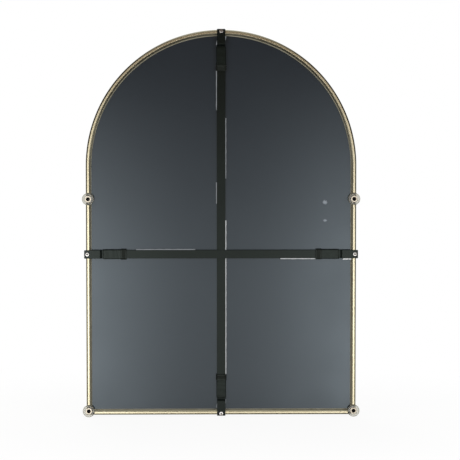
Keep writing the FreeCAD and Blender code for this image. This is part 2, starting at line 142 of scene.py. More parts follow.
def smooth_step(value: np.ndarray) -> np.ndarray:
    """Runs from 0 to 1 as value does, level at both ends: 3v^2 - 2v^3."""
    held = np.clip(value, 0.0, 1.0)
    return held * held * (3.0 - 2.0 * held)


def rounded_loop(corners: Sequence[tuple[float, float]], radii: Sequence[float], steps: int = 6,
                 shoulder: float = 0.15) -> np.ndarray:
    """Closed outline whose corners are rounded into arcs.

    A corner p with unit directions a and b to its neighbours becomes p + r(a + b) - r(b cos t + a sin t) for t
    over a quarter turn, with a point just before and just after on the straight runs so that flats shade flat.

    Args:
        corners: corner points in order, in millimetres.
        radii: radius of each corner.
        steps: facets in each arc.
        shoulder: distance of the extra points from the ends of the arc.

    Returns:
        Points in order, with the first one repeated at the end.
    """
    points = np.asarray(corners, float)
    radius = np.asarray(radii, float)[:, None]
    before = np.roll(points, 1, axis=0) - points
    after = np.roll(points, -1, axis=0) - points
    before /= np.linalg.norm(before, axis=1, keepdims=True)
    after /= np.linalg.norm(after, axis=1, keepdims=True)
    turn = np.linspace(0.0, np.pi / 2, steps + 1)[None, :, None]
    swing = after[:, None] * np.cos(turn) + before[:, None] * np.sin(turn)
    arcs = (points + radius * (before + after))[:, None] - radius[:, None] * swing
    lead = (points + (radius + shoulder) * before)[:, None]
    tail = (points + (radius + shoulder) * after)[:, None]
    loop = np.concatenate([lead, arcs, tail], axis=1).reshape(-1, 2)
    return np.vstack([loop, loop[:1]])


def box_loop(half_width: float, half_depth: float, radius: float, steps: int = 6) -> np.ndarray:
    """Rounded rectangle centred on the origin.

    Args:
        half_width: half its size in the first direction.
        half_depth: half its size in the second.
        radius: radius of its corners.
        steps: facets in each corner.

    Returns:
        Points in order, with the first one repeated at the end.
    """
    corners = [(half_width, -half_depth), (half_width, half_depth), (-half_width, half_depth),
               (-half_width, -half_depth)]
    return rounded_loop(corners, [radius] * 4, steps)


@dataclass
class Grid:
    """A patch of surface: points[row, column] in millimetres, and a flat chart of it in metres."""

    points: np.ndarray
    chart: np.ndarray

    @classmethod
    def of(cls, points: np.ndarray) -> "Grid":
        """Charts a patch by length.

        The chart's first number is the mean distance run along the rows so far, its second that along the columns.

        Args:
            points: array of rows, columns and the three coordinates.

        Returns:
            The patch with its chart.
        """
        down = np.linalg.norm(np.diff(points, axis=0), axis=2).mean(axis=1)
        across = np.linalg.norm(np.diff(points, axis=1), axis=2).mean(axis=0)
        along_rows = np.concatenate([[0.0], np.cumsum(down)])
        along_columns = np.concatenate([[0.0], np.cumsum(across)])
        chart = np.stack(np.meshgrid(along_rows, along_columns, indexing="ij"), axis=2) * MM
        return cls(points, chart)

    def quads(self, first: int) -> np.ndarray:
        """Corner numbers of the patch's faces.

        Args:
            first: number of the patch's first vertex.

        Returns:
            Four corner numbers for each face.
        """
        rows, columns = self.points.shape[:2]
        number = first + np.arange(rows * columns).reshape(rows, columns)
        return np.stack([number[:-1, :-1], number[1:, :-1], number[1:, 1:], number[:-1, 1:]], axis=2).reshape(-1, 4)


def mesh_from(name: str, grids: list[Grid], crease: float) -> bpy.types.Mesh:
    """Joins patches into one welded, smooth-shaded mesh.

    Patches meet where their edges coincide, a tube's seam and a pole included, and are welded there.

    Args:
        name: the mesh's name.
        grids: the patches.
        crease: angle in degrees above which an edge stays sharp.

    Returns:
        The mesh, with its faces outwards.
    """
    starts = np.cumsum([0] + [grid.points.shape[0] * grid.points.shape[1] for grid in grids])
    points = np.concatenate([grid.points.reshape(-1, 3) for grid in grids]) * MM
    chart = np.concatenate([grid.chart.reshape(-1, 2) for grid in grids])
    quads = np.concatenate([grid.quads(int(start)) for grid, start in zip(grids, starts)])
    mesh = bpy.data.meshes.new(name)
    mesh.from_pydata(points.tolist(), [], quads.tolist())
    mesh.uv_layers.new(name=CHART).data.foreach_set("uv", chart[quads.ravel()].ravel())
    work = bmesh.new()
    work.from_mesh(mesh)
    bmesh.ops.remove_doubles(work, verts=work.verts, dist=WELD_DISTANCE)
    bmesh.ops.recalc_face_normals(work, faces=work.faces)
    work.to_mesh(mesh)
    work.free()
    mesh.shade_smooth()
    mesh.set_sharp_from_angle(angle=math.radians(crease))
    return mesh


def add_object(name: str, mesh: bpy.types.Mesh) -> bpy.types.Object:
    """Puts a mesh into the scene, at the origin.

    Args:
        name: the object's name.
        mesh: its mesh.

    Returns:
        The object.
    """
    made = bpy.data.objects.new(name, mesh)
    bpy.context.scene.collection.objects.link(made)
    return made


def turned(profile: np.ndarray, centre: tuple[float, float], segments: int = 96) -> Grid:
    """Surface of revolution about a line along the depth.

    Each profile point (r, y) goes round to (cx + r cos t, y, cz + r sin t).

    Args:
        profile: points of radius and depth.
        centre: X and Z of the axis.
        segments: facets around.

    Returns:
        The turned patch.
    """
    turn = np.linspace(0.0, 2 * np.pi, segments + 1)[:, None]
    radius = profile[None, :, 0]
    x = centre[0] + radius * np.cos(turn)
    z = centre[1] + radius * np.sin(turn)
    y = np.broadcast_to(profile[None, :, 1], x.shape)
    return Grid.of(np.stack([x, y, z], axis=2))


class Finish:
    """A surface finish, whose material is made once and shared."""

    name: str = ""

    def material(self) -> bpy.types.Material:
        """The finish's material, made on first use."""
        found = bpy.data.materials.get(self.name)
        return found if found else self.make()

    def start(self) -> tuple[bpy.types.NodeTree, bpy.types.NodeSocket]:
        """Opens a new material.

        Returns:
            Its empty node tree, and the piece's own coordinates.
        """
        material = bpy.data.materials.new(self.name)
        material.use_nodes = True
        tree = material.node_tree
        tree.nodes.clear()
        return tree, add_node(tree, "ShaderNodeTexCoord").outputs["Object"]

    def close(self, tree: bpy.types.NodeTree, sockets: dict) -> bpy.types.Material:
        """Adds the shader and the output.

        Args:
            tree: the material's node tree.
            sockets: the shader's constants and links.

        Returns:
            The material.
        """
        shader = add_node(tree, "ShaderNodeBsdfPrincipled", sockets)
        add_node(tree, "ShaderNodeOutputMaterial", {"Surface": shader.outputs[0]})
        return bpy.data.materials[self.name]

    def make(self) -> bpy.types.Material:
        """Builds the material."""
        raise NotImplementedError


@dataclass(frozen=True)
class BrushedGoldAnodising(Finish):
    """Aluminium tube brushed along its length and anodised to a pale brass colour.

    The brushing spreads reflections across the tube, and the sealed oxide adds a thin clear gloss.
    """

    name: str = "aluminium_brushed_gold_anodised"
    colour: str = "#CDC7AC"
    second_colour: str = "#C7C0A3"
    stroke_length: float = 45.0
    # Real strokes are near 0.1 mm wide; they are drawn wider so that they show.
    stroke_width: float = 0.9
    stroke_depth: float = 0.02
    stroke_strength: float = 0.012
    tone_patch: float = 90.0
    smoothest: float = 0.21
    roughest: float = 0.24
    spread: float = 0.2
    oxide_gloss: float = 0.15
    oxide_roughness: float = 0.2

    def make(self) -> bpy.types.Material:
        """Builds the material on the tube's own chart, which runs along its length.

        Returns:
            The material.
        """
        tree, place = self.start()
        chart = add_node(tree, "ShaderNodeUVMap", uv_map=CHART)
        strokes = add_node(tree, "ShaderNodeMapping", {
            "Vector": chart.outputs[0],
            "Scale": (per_metre(self.stroke_length), per_metre(self.stroke_width), 1.0)})
        lines = add_node(tree, "ShaderNodeTexNoise", {
            "Vector": strokes.outputs[0], "Scale": 1.0, "Detail": 3.0, "Roughness": 0.6})
        patches = add_node(tree, "ShaderNodeTexNoise", {
            "Vector": place, "Scale": per_metre(self.tone_patch), "Detail": 2.0})
        tone = add_node(tree, "ShaderNodeMapRange", {
            "Value": patches.outputs[0], "From Min": TONE_FROM, "From Max": TONE_TO})
        colour = add_node(tree, "ShaderNodeMix", {
            MIX_FACTOR: tone.outputs[0], MIX_A: linear(self.colour), MIX_B: linear(self.second_colour)},
            data_type="RGBA")
        rough = add_node(tree, "ShaderNodeMapRange", {
            "Value": lines.outputs[0], "From Min": ROUGH_FROM, "From Max": ROUGH_TO,
            "To Min": self.smoothest, "To Max": self.roughest})
        bump = add_node(tree, "ShaderNodeBump", {
            "Height": lines.outputs[0], "Strength": self.stroke_strength, "Distance": self.stroke_depth * MM})
        grain = add_node(tree, "ShaderNodeTangent", direction_type="UV_MAP", uv_map=CHART)
        return self.close(tree, {
            "Base Color": colour.outputs[MIX_COLOUR], "Metallic": 1.0, "Roughness": rough.outputs[0],
            "Normal": bump.outputs[0], "Tangent": grain.outputs[0], "Anisotropic": self.spread,
            "Coat Weight": self.oxide_gloss, "Coat Roughness": self.oxide_roughness})


@dataclass(frozen=True)
class FloatGlass(Finish):
    """Soda-lime float glass with ground and polished arrises: clear on its faces, faintly green at its edge."""

    name: str = "glass_float_polished"
    colour: str = "#F6FBF9"
    index: float = 1.52
    dust_patch: float = 35.0
    dust_from: float = 0.45
    dust_to: float = 0.75
    dustiest: float = 0.02

    def make(self) -> bpy.types.Material:
        """Builds the material, with a trace of dust in its roughness.

        Returns:
            The material.
        """
        tree, place = self.start()
        dust = add_node(tree, "ShaderNodeTexNoise", {
            "Vector": place, "Scale": per_metre(self.dust_patch), "Detail": 4.0})
        rough = add_node(tree, "ShaderNodeMapRange", {
            "Value": dust.outputs[0], "From Min": self.dust_from, "From Max": self.dust_to,
            "To Min": 0.0, "To Max": self.dustiest})
        return self.close(tree, {
            "Base Color": linear(self.colour), "Roughness": rough.outputs[0], "IOR": self.index,
            "Transmission Weight": 1.0})


@dataclass(frozen=True)
class MirrorSilver(Finish):
    """Silver laid down chemically on glass: a clean, very slightly warm reflection with hardly any haze."""

    name: str = "silver_chemical_mirror"
    colour: str = "#F4F3EE"
    second_colour: str = "#EEF0EE"
    tone_patch: float = 260.0
    haze: float = 0.01

    def make(self) -> bpy.types.Material:
        """Builds the material, with a slow drift of tone.

        Returns:
            The material.
        """
        tree, place = self.start()
        drift = add_node(tree, "ShaderNodeTexNoise", {
            "Vector": place, "Scale": per_metre(self.tone_patch), "Detail": 1.0})
        colour = add_node(tree, "ShaderNodeMix", {
            MIX_FACTOR: drift.outputs[0], MIX_A: linear(self.colour), MIX_B: linear(self.second_colour)},
            data_type="RGBA")
        return self.close(tree, {
            "Base Color": colour.outputs[MIX_COLOUR], "Metallic": 1.0, "Roughness": self.haze})


@dataclass(frozen=True)
class Scuff:
    """A rubbed spot in the back paint: its centre and half sizes across and up, in millimetres."""

    x: float
    z: float
    half_width: float
    half_height: float


@dataclass(frozen=True)
class GlossSlatePaint(Finish):
    """Slate-coloured mirror backing paint, curtain-coated and baked.

    It flows out almost flat, so it mirrors the room dimly, with a faint orange peel and a few rubbed spots.
    """

    name: str = "paint_slate_backing_gloss"
    colour: str = "#1E242B"
    second_colour: str = "#1B2127"
    sheen_tint: str = "#E6F6FF"
    index: float = 1.55
    cloud: float = 140.0
    smoothest: float = 0.1
    roughest: float = 0.15
    # Orange peel is near 2 mm across; it is drawn wider so that it shows.
    peel: float = 6.0
    peel_depth: float = 0.05
    peel_strength: float = 0.05
    scuffs: tuple[Scuff, ...] = (Scuff(-234.4, -8.3, 5.6, 5.0), Scuff(-234.6, -49.4, 4.6, 3.0))
    scuff_colour: str = "#8E949C"
    scuff_roughness: float = 0.45
    scuff_fleck: float = 2.2
    # Reach of the spots' ragged edges, in half sizes: the share of fleck, and where a spot is full and where gone
    scuff_ragged: float = 1.1
    scuff_full: float = 0.95
    scuff_gone: float = 1.75

    def make(self) -> bpy.types.Material:
        """Builds the material, with each rubbed spot an uneven oval on the panel's own coordinates.

        Returns:
            The material.
        """
        tree, place = self.start()
        cloud = add_node(tree, "ShaderNodeTexNoise", {"Vector": place, "Scale": per_metre(self.cloud), "Detail": 3.0})
        fleck = add_node(tree, "ShaderNodeTexNoise", {
            "Vector": place, "Scale": per_metre(self.scuff_fleck), "Detail": 2.0})
        tone = add_node(tree, "ShaderNodeMix", {
            MIX_FACTOR: cloud.outputs[0], MIX_A: linear(self.colour), MIX_B: linear(self.second_colour)},
            data_type="RGBA")
        rubbed = None
        for scuff in self.scuffs:
            across, up = per_metre(scuff.half_width), per_metre(scuff.half_height)
            centred = add_node(tree, "ShaderNodeMapping", {
                "Vector": place, "Scale": (across, 0.0, up),
                "Location": (-scuff.x * MM * across, 0.0, -scuff.z * MM * up)})
            reach = add_node(tree, "ShaderNodeVectorMath", {0: centred.outputs[0]}, operation="LENGTH")
            ragged = add_node(tree, "ShaderNodeMath", {
                0: fleck.outputs[0], 1: self.scuff_ragged, 2: reach.outputs["Value"]}, operation="MULTIPLY_ADD")
            spot = add_node(tree, "ShaderNodeMapRange", {
                "Value": ragged.outputs[0], "From Min": self.scuff_gone, "From Max": self.scuff_full},
                interpolation_type="SMOOTHSTEP")
            rubbed = spot.outputs[0] if rubbed is None else add_node(
                tree, "ShaderNodeMath", {0: rubbed, 1: spot.outputs[0]}, operation="MAXIMUM").outputs[0]
        colour = add_node(tree, "ShaderNodeMix", {
            MIX_FACTOR: rubbed, MIX_A: tone.outputs[MIX_COLOUR], MIX_B: linear(self.scuff_colour)},
            data_type="RGBA")
        clean_rough = add_node(tree, "ShaderNodeMapRange", {
            "Value": cloud.outputs[0], "From Min": ROUGH_FROM, "From Max": ROUGH_TO,
            "To Min": self.smoothest, "To Max": self.roughest})
        rough = add_node(tree, "ShaderNodeMath", {
            0: rubbed, 1: self.scuff_roughness, 2: clean_rough.outputs[0]}, operation="MULTIPLY_ADD")
        peel = add_node(tree, "ShaderNodeTexNoise", {"Vector": place, "Scale": per_metre(self.peel), "Detail": 1.0})
        bump = add_node(tree, "ShaderNodeBump", {
            "Height": peel.outputs[0], "Strength": self.peel_strength, "Distance": self.peel_depth * MM})
        return self.close(tree, {
            "Base Color": colour.outputs[MIX_COLOUR], "Roughness": rough.outputs[0], "Normal": bump.outputs[0],
            "IOR": self.index, "Specular Tint": linear(self.sheen_tint)})


@dataclass(frozen=True)
class MottledFinish(Finish):
    """A finish with one drifting tone, one fine grain and a roughness that follows the grain."""

    name: str = "mottled"
    colour: str = "#808080"
    second_colour: str = "#707070"
    metallic: float = 0.0
    index: float = 1.5
    sheen_tint: str = "#FFFFFF"
    tone_patch: float = 40.0
    grain: float = 1.0
    stretch: tuple[float, float, float] = (1.0, 1.0, 1.0)
    smoothest: float = 0.4
    roughest: float = 0.5
    relief: float = 0.05
    relief_strength: float = 0.2
    by_chart: bool = False

    def make(self) -> bpy.types.Material:
        """Builds the material, with its grain on the piece's chart or on its own coordinates.

        Returns:
            The material.
        """
        tree, place = self.start()
        ground = add_node(tree, "ShaderNodeUVMap", uv_map=CHART).outputs[0] if self.by_chart else place
        scale = per_metre(self.grain)
        stretched = add_node(tree, "ShaderNodeMapping", {
            "Vector": ground, "Scale": tuple(scale / part for part in self.stretch)})
        grain = add_node(tree, "ShaderNodeTexNoise", {
            "Vector": stretched.outputs[0], "Scale": 1.0, "Detail": 3.0, "Roughness": 0.55})
        drift = add_node(tree, "ShaderNodeTexNoise", {
            "Vector": place, "Scale": per_metre(self.tone_patch), "Detail": 3.0})
        tone = add_node(tree, "ShaderNodeMapRange", {
            "Value": drift.outputs[0], "From Min": TONE_FROM, "From Max": TONE_TO})
        colour = add_node(tree, "ShaderNodeMix", {
            MIX_FACTOR: tone.outputs[0], MIX_A: linear(self.colour), MIX_B: linear(self.second_colour)},
            data_type="RGBA")
        rough = add_node(tree, "ShaderNodeMapRange", {
            "Value": grain.outputs[0], "From Min": ROUGH_FROM, "From Max": ROUGH_TO,
            "To Min": self.smoothest, "To Max": self.roughest})
        bump = add_node(tree, "ShaderNodeBump", {
            "Height": grain.outputs[0], "Strength": self.relief_strength, "Distance": self.relief * MM})
        body = {} if self.metallic else {"IOR": self.index, "Specular Tint": linear(self.sheen_tint)}
        return self.close(tree, {
            "Base Color": colour.outputs[MIX_COLOUR], "Metallic": self.metallic, "Roughness": rough.outputs[0],
            "Normal": bump.outputs[0], **body})


@dataclass(frozen=True)
class ClearVinyl(Finish):
    """Moulded soft vinyl: clear, faintly cloudy, and a little frosted by handling."""

    name: str = "vinyl_clear_moulded"
    colour: str = "#C4C2B8"
    index: float = 1.45
    clearness: float = 0.88
    frost: float = 3.0
    smoothest: float = 0.06
    roughest: float = 0.16

    def make(self) -> bpy.types.Material:
        """Builds the material, with a fine frosting in its roughness.

        Returns:
            The material.
        """
        tree, place = self.start()
        frost = add_node(tree, "ShaderNodeTexNoise", {"Vector": place, "Scale": per_metre(self.frost), "Detail": 3.0})
        rough = add_node(tree, "ShaderNodeMapRange", {
            "Value": frost.outputs[0], "From Min": ROUGH_FROM, "From Max": ROUGH_TO,
            "To Min": self.smoothest, "To Max": self.roughest})
        return self.close(tree, {
            "Base Color": linear(self.colour), "Roughness": rough.outputs[0], "IOR": self.index,
            "Transmission Weight": self.clearness})


GOLD = BrushedGoldAnodising()
GLASS = FloatGlass()
SILVER = MirrorSilver()
SLATE = GlossSlatePaint()
VINYL = ClearVinyl()
# Steel strip under a satin powder coat: near black, with a soft sheen and a fine stipple.
POWDER_COAT = MottledFinish(
    name="steel_black_powder_coated", colour="#090E0C", second_colour="#070A09", index=1.31, sheen_tint="#ECFFF8",
    tone_patch=60.0, grain=1.2, smoothest=0.16, roughest=0.22, relief=0.02)
# Heat-shrunk tube: satin black, with faint lines drawn out along its length.
SHRINK_TUBE = MottledFinish(
    name="polyolefin_black_shrink_tube", colour="#0B110E", second_colour="#090D0B", index=1.32, sheen_tint="#ECFFF8",
    tone_patch=18.0, grain=1.0, stretch=(12.0, 1.0, 1.0), smoothest=0.18, roughest=0.26, relief=0.08, by_chart=True)
# Moulded nylon: black, satin from a fine spark-eroded mould.
NYLON = MottledFinish(
    name="nylon_black_moulded", colour="#161916", second_colour="#121412", index=1.34, sheen_tint="#ECFFF8",
    tone_patch=9.0, grain=0.6, smoothest=0.24, roughest=0.34, relief=0.04)
# Closed-cell polyethylene foam, die-cut: pale grey, fully matt, with cells drawn near 1 mm so that they show.
FOAM = MottledFinish(
    name="polyethylene_foam_die_cut", colour="#979BA0", second_colour="#8C9095", tone_patch=12.0, grain=1.1,
    smoothest=0.85, roughest=0.98, relief=0.25, relief_strength=0.5)
# The same foam painted much paler, as painted light, for the lengths that stand clear of the strap.
FOAM_PAINTED_LIT = MottledFinish(
    name="polyethylene_foam_painted_lit", colour="#E4E6E8", second_colour="#DADCDE", tone_patch=12.0, grain=1.1,
    smoothest=0.85, roughest=0.98, relief=0.25, relief_strength=0.5)
# Steel under bright zinc plate: a cool, slightly clouded shine.
ZINC = MottledFinish(
    name="steel_bright_zinc_plated", colour="#DADAD6", second_colour="#C8C9CC", metallic=1.0, tone_patch=3.0,
    grain=0.5, smoothest=0.16, roughest=0.28, relief=0.01)
# Drawn steel under nickel: warmer and smoother than the zinc.
NICKEL = MottledFinish(
    name="steel_nickel_plated", colour="#CAC4B5", second_colour="#BEB8A9", metallic=1.0, tone_patch=6.0,
    grain=0.6, smoothest=0.2, roughest=0.3, relief=0.01)
# Aluminium as it leaves the die: dull silver with faint lines.
MILL_ALUMINIUM = MottledFinish(
    name="aluminium_mill_finish", colour="#C9CACB", second_colour="#BBBCBE", metallic=1.0, tone_patch=15.0,
    grain=0.8, smoothest=0.38, roughest=0.5, relief=0.02)
# Closed-cell glazing tape: tan and matt.
TAPE = MottledFinish(
    name="foam_tape_glazing", colour="#949080", second_colour="#8A8674", tone_patch=20.0, grain=0.9,
    smoothest=0.8, roughest=0.95, relief=0.1)
# Moulded rubber blocks: black with a dull bloom. The same black also makes the cups of painted shade inside the
# eyelets' bores.
BLACK_RUBBER_AND_SHADE = MottledFinish(
    name="rubber_black_moulded_and_painted_shade", colour="#1A1A1A", second_colour="#242424", tone_patch=10.0, grain=0.8,
    smoothest=0.6, roughest=0.75, relief=0.05)


def dress(name: str, grids: list[Grid], finish: Finish, nodes: list[str],
          crease: float = 40.0) -> bpy.types.Object:
    """Makes one finished piece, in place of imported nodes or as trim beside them.

    Args:
        name: the piece's name.
        grids: its patches of surface.
        finish: its finish.
        nodes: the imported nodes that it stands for, if any.
        crease: angle in degrees above which an edge stays sharp.

    Returns:
        The piece.
    """
    piece = add_object(name, mesh_from(name, grids, crease))
    piece.data.materials.append(finish.material())
    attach(piece, BODY)
    if nodes:
        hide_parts(*nodes)
    LOG.info("%s: %d faces, %s", name, len(piece.data.polygons), finish.name)
    return piece


@dataclass
class GoldFrame:
    """The hollow gold tube: an arch bent from one length, and a sill mitred to its feet."""

    face: float = 10.0
    wall: float = 1.2
    edge_radius: float = 1.8
    chamfer_width: float = 2.9
    chamfer_depth: float = 2.5
    chamfer_radius: float = 0.5
    lip_width: float = 4.0
    lip_thickness: float = 1.5
    lip_radius: float = 0.4
    root_radius: float = 0.25
    edge_steps: int = 8
    arc_steps: int = 160
    side_steps: int = 12
    socket_bore: float = 3.55
    socket_segments: int = 48
    crease: float = 35.0

    def __post_init__(self) -> None:
        """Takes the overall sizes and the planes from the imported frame."""
        low, high = node_box("frame_arch")
        self.radius = (high[0] - low[0]) / 2
        self.front, self.back = low[1], high[1]
        self.foot = low[2]
        self.spring = high[2] - self.radius
        self.lip_rear = node_box("glazing_gasket")[0][1]

    def section(self) -> np.ndarray:
        """Outline of the tube with its lip: rounded edges in front, chamfered ones at the back.

        Returns:
            Points of distance in from the outer edge, and depth.
        """
        lip_front = self.lip_rear - self.lip_thickness
        tip = self.face + self.lip_width
        shoulder = self.back - self.chamfer_depth
        corners = [(0, self.front), (self.face, self.front), (self.face, lip_front), (tip, lip_front),
                   (tip, self.lip_rear), (self.face, self.lip_rear), (self.face, shoulder),
                   (self.face - self.chamfer_width, self.back), (self.chamfer_width, self.back), (0, shoulder)]
        edge = self.edge_radius
        radii = [edge, edge, self.root_radius, self.lip_radius, self.lip_radius, self.root_radius]
        return rounded_loop(corners, radii + [self.chamfer_radius] * 4, self.edge_steps)

    def bore(self, outline: np.ndarray) -> np.ndarray:
        """Outline of the hollow, point for point with the outside.

        Each outside point is drawn straight towards the tube's middle until it meets the hollow's rectangle.

        Args:
            outline: the outside, as distance in and depth.

        Returns:
            As many points on the hollow's walls.
        """
        middle = np.array([self.face / 2, (self.front + self.back) / 2])
        half = np.array([self.face, self.back - self.front]) / 2 - self.wall
        offset = outline - middle
        shrink = (half / np.maximum(np.abs(offset), LEAST)).min(axis=1, keepdims=True)
        return middle + offset * shrink

    def along_arch(self, section: np.ndarray) -> np.ndarray:
        """Carries a section up one side, round the top and down the other.

        A point o in from the edge goes to x = -(R - o) cos t and z = spring + (R - o) sin t - drop, where t is 0 up
        the left side, runs over half a turn, and stays there; at the feet o is added to z, which cuts the mitre.

        Args:
            section: points of distance in, and depth.

        Returns:
            Points by station and section point.
        """
        inset, depth = section[None, :, 0], section[None, :, 1]
        length = self.spring - self.foot
        rise = np.linspace(length, 0.0, self.side_steps + 1)[:-1]
        turn = np.linspace(0.0, np.pi, self.arc_steps + 1)
        angle = np.concatenate([np.zeros_like(rise), turn, np.full_like(rise, np.pi)])[:, None]
        drop = np.concatenate([rise, np.zeros_like(turn), rise[::-1]])[:, None]
        mitre = (drop == length).astype(float)
        reach = self.radius - inset
        x = -reach * np.cos(angle)
        z = self.spring + reach * np.sin(angle) - drop + mitre * inset
        return np.stack([x, np.broadcast_to(depth, x.shape), z], axis=2)

    def along_sill(self, section: np.ndarray) -> np.ndarray:
        """Carries a section along the foot: x = s (R - o) for s from -1 to 1, z = foot + o, so both ends are mitred.

        Args:
            section: points of distance in, and depth.

        Returns:
            Points by station and section point.
        """
        inset, depth = section[None, :, 0], section[None, :, 1]
        share = np.linspace(-1.0, 1.0, 2 * self.side_steps + 1)[:, None]
        x = share * (self.radius - inset)
        z = np.broadcast_to(self.foot + inset, x.shape)
        return np.stack([x, np.broadcast_to(depth, x.shape), z], axis=2)

    def tube(self, outside: np.ndarray, hollow: np.ndarray) -> list[Grid]:
        """Patches of one closed tube: outside, hollow, and the two cut ends between them.

        Args:
            outside: points of the outside, by station and section point.
            hollow: as many points of the hollow.

        Returns:
            The patches.
        """
        ends = [np.stack([outside[i], hollow[i]]) for i in (0, -1)]
        return [Grid.of(patch) for patch in (outside, hollow, *ends)]

    def pierce(self, piece: bpy.types.Object, sockets: list[tuple[float, float]]) -> None:
        """Bores the wall sockets through the tube's back.

        Args:
            piece: the tube.
            sockets: X and Z of each socket.
        """
        reach = self.wall * 2
        radius = self.socket_bore
        rod = np.array([(0, self.back - reach), (radius, self.back - reach), (radius, self.back + reach),
                        (0, self.back + reach)])
        cutter = add_object("socket_cutter", mesh_from(
            "socket_cutter", [turned(rod, place, self.socket_segments) for place in sockets], PLAIN_CREASE))
        cut = piece.modifiers.new("sockets", "BOOLEAN")
        cut.object = cutter
        cut.operation = "DIFFERENCE"
        cut.solver = "EXACT"
        graph = bpy.context.evaluated_depsgraph_get()
        bored = bpy.data.meshes.new_from_object(piece.evaluated_get(graph))
        bored.set_sharp_from_angle(angle=math.radians(self.crease))
        piece.modifiers.clear()
        piece.data = bored
        bpy.data.objects.remove(cutter)

    def build(self, sockets: list[tuple[float, float]]) -> None:
        """Makes the arch and the sill.

        Args:
            sockets: X and Z of each wall socket.
        """
        section = self.section()
        hollow = self.bore(section)
        for node, carry in (("frame_arch", self.along_arch), ("frame_sill", self.along_sill)):
            grids = self.tube(carry(section), carry(hollow))
            piece = dress(f"{node}_tube", grids, GOLD, [node], self.crease)
            self.pierce(piece, sockets)


@dataclass
class MirrorPane:
    """The glass with its silvering and back paint, each an arched plate, and the tape folded round their edge."""

    arris: float = 0.3
    coating_edge: float = 0.06
    coating_bond: float = 0.03
    tape_width: float = 1.7
    tape_thickness: float = 0.12
    tape_cap: float = 0.6
    tape_clearance: float = 0.03
    arc_steps: int = 128
    foot_points: int = 13
    crease: float = 25.0
    shrink_rings: tuple[float, ...] = (0.97, 0.8, 0.5, 0.25, 0.0)

    def outline(self, half: float, spring: float, foot: float) -> np.ndarray:
        """Arched outline: a half turn of the half width above the spring line, then down to a square foot.

        Args:
            half: half the width.
            spring: height of the spring line.
            foot: height of the foot.

        Returns:
            X and Z of the points in order, with the first repeated at the end.
        """
        turn = np.linspace(0.0, np.pi, self.arc_steps + 1)
        arch = np.stack([half * np.cos(turn), spring + half * np.sin(turn)], axis=1)
        run = np.linspace(1.0, -1.0, self.foot_points)[:, None]
        sill = np.concatenate([-run * half, np.full_like(run, foot)], axis=1)
        return np.vstack([arch, sill, arch[:1]])

    def plate(self, node: str, edge: float, bond: float) -> Grid:
        """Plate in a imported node's place, its edges broken by a small bevel.

        Rings of the outline run from the middle of the front, out over the bevel, across the edge and back to the
        middle of the rear; inside the bevel a ring is the outline drawn towards the middle.

        Args:
            node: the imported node.
            edge: size of the bevel.
            bond: how far its front lies inside the layer before it, so that the two meet without a gap.

        Returns:
            The closed patch.
        """
        low, high = node_box(node)
        front = low[1] - bond
        half = high[0]
        spring = high[2] - half
        middle = np.array([0.0, (low[2] + high[2]) / 2])
        full = self.outline(half, spring, low[2])
        broken = self.outline(half - edge, spring, low[2] + edge)
        inner = [middle + share * (broken - middle) for share in self.shrink_rings]
        rings = inner[::-1] + [broken, full, full, broken] + inner
        count = len(inner)
        depths = [front] * (count + 1) + [front + edge, high[1] - edge] + [high[1]] * (count + 1)
        flat = np.stack(rings)
        depth = np.broadcast_to(np.array(depths)[:, None], flat.shape[:2])
        return Grid.of(np.stack([flat[..., 0], depth, flat[..., 1]], axis=2))

    def edge_tape(self) -> Grid:
        """Thin tape folded round the glass's edge, with a flat cap over the paint's rim and most of the gap outside.

        Its section is a thin T. A section point o in from the glass's edge follows the outline drawn in by o.

        Returns:
            The closed patch.
        """
        low, high = node_box("mirror_glass")
        half = high[0]
        spring = high[2] - half
        inside = -self.tape_clearance
        outside = inside - self.tape_thickness
        under = node_box("back_paint")[1][1] + self.tape_clearance
        over = under + self.tape_thickness
        section = np.array([(outside, low[1]), (outside, under), (-self.tape_cap, under), (-self.tape_cap, over),
                            (self.tape_width, over), (self.tape_width, under), (inside, under), (inside, low[1]),
                            (outside, low[1])])
        rings = np.stack([self.outline(half - inset, spring, low[2] + inset) for inset in section[:, 0]])
        depth = np.broadcast_to(section[:, 1:], rings.shape[:2])
        return Grid.of(np.stack([rings[..., 0], depth, rings[..., 1]], axis=2))

    def build(self) -> None:
        """Makes the glass, the silvering, the paint and the tape."""
        coat, bond = self.coating_edge, self.coating_bond
        layers = (("mirror_glass", "mirror_pane_glass", GLASS, "clear_glass", self.arris, 0.0),
                  ("silvering", "mirror_pane_silvering", SILVER, "mirror_silver", coat, bond),
                  ("back_paint", "mirror_pane_paint", SLATE, "slate_paint", coat, bond))
        for node, name, finish, slot, edge, sunk in layers:
            dress(name, [self.plate(node, edge, sunk)], finish, [node], self.crease)
        dress("mirror_pane_edge_tape", [self.edge_tape()], TAPE, [])


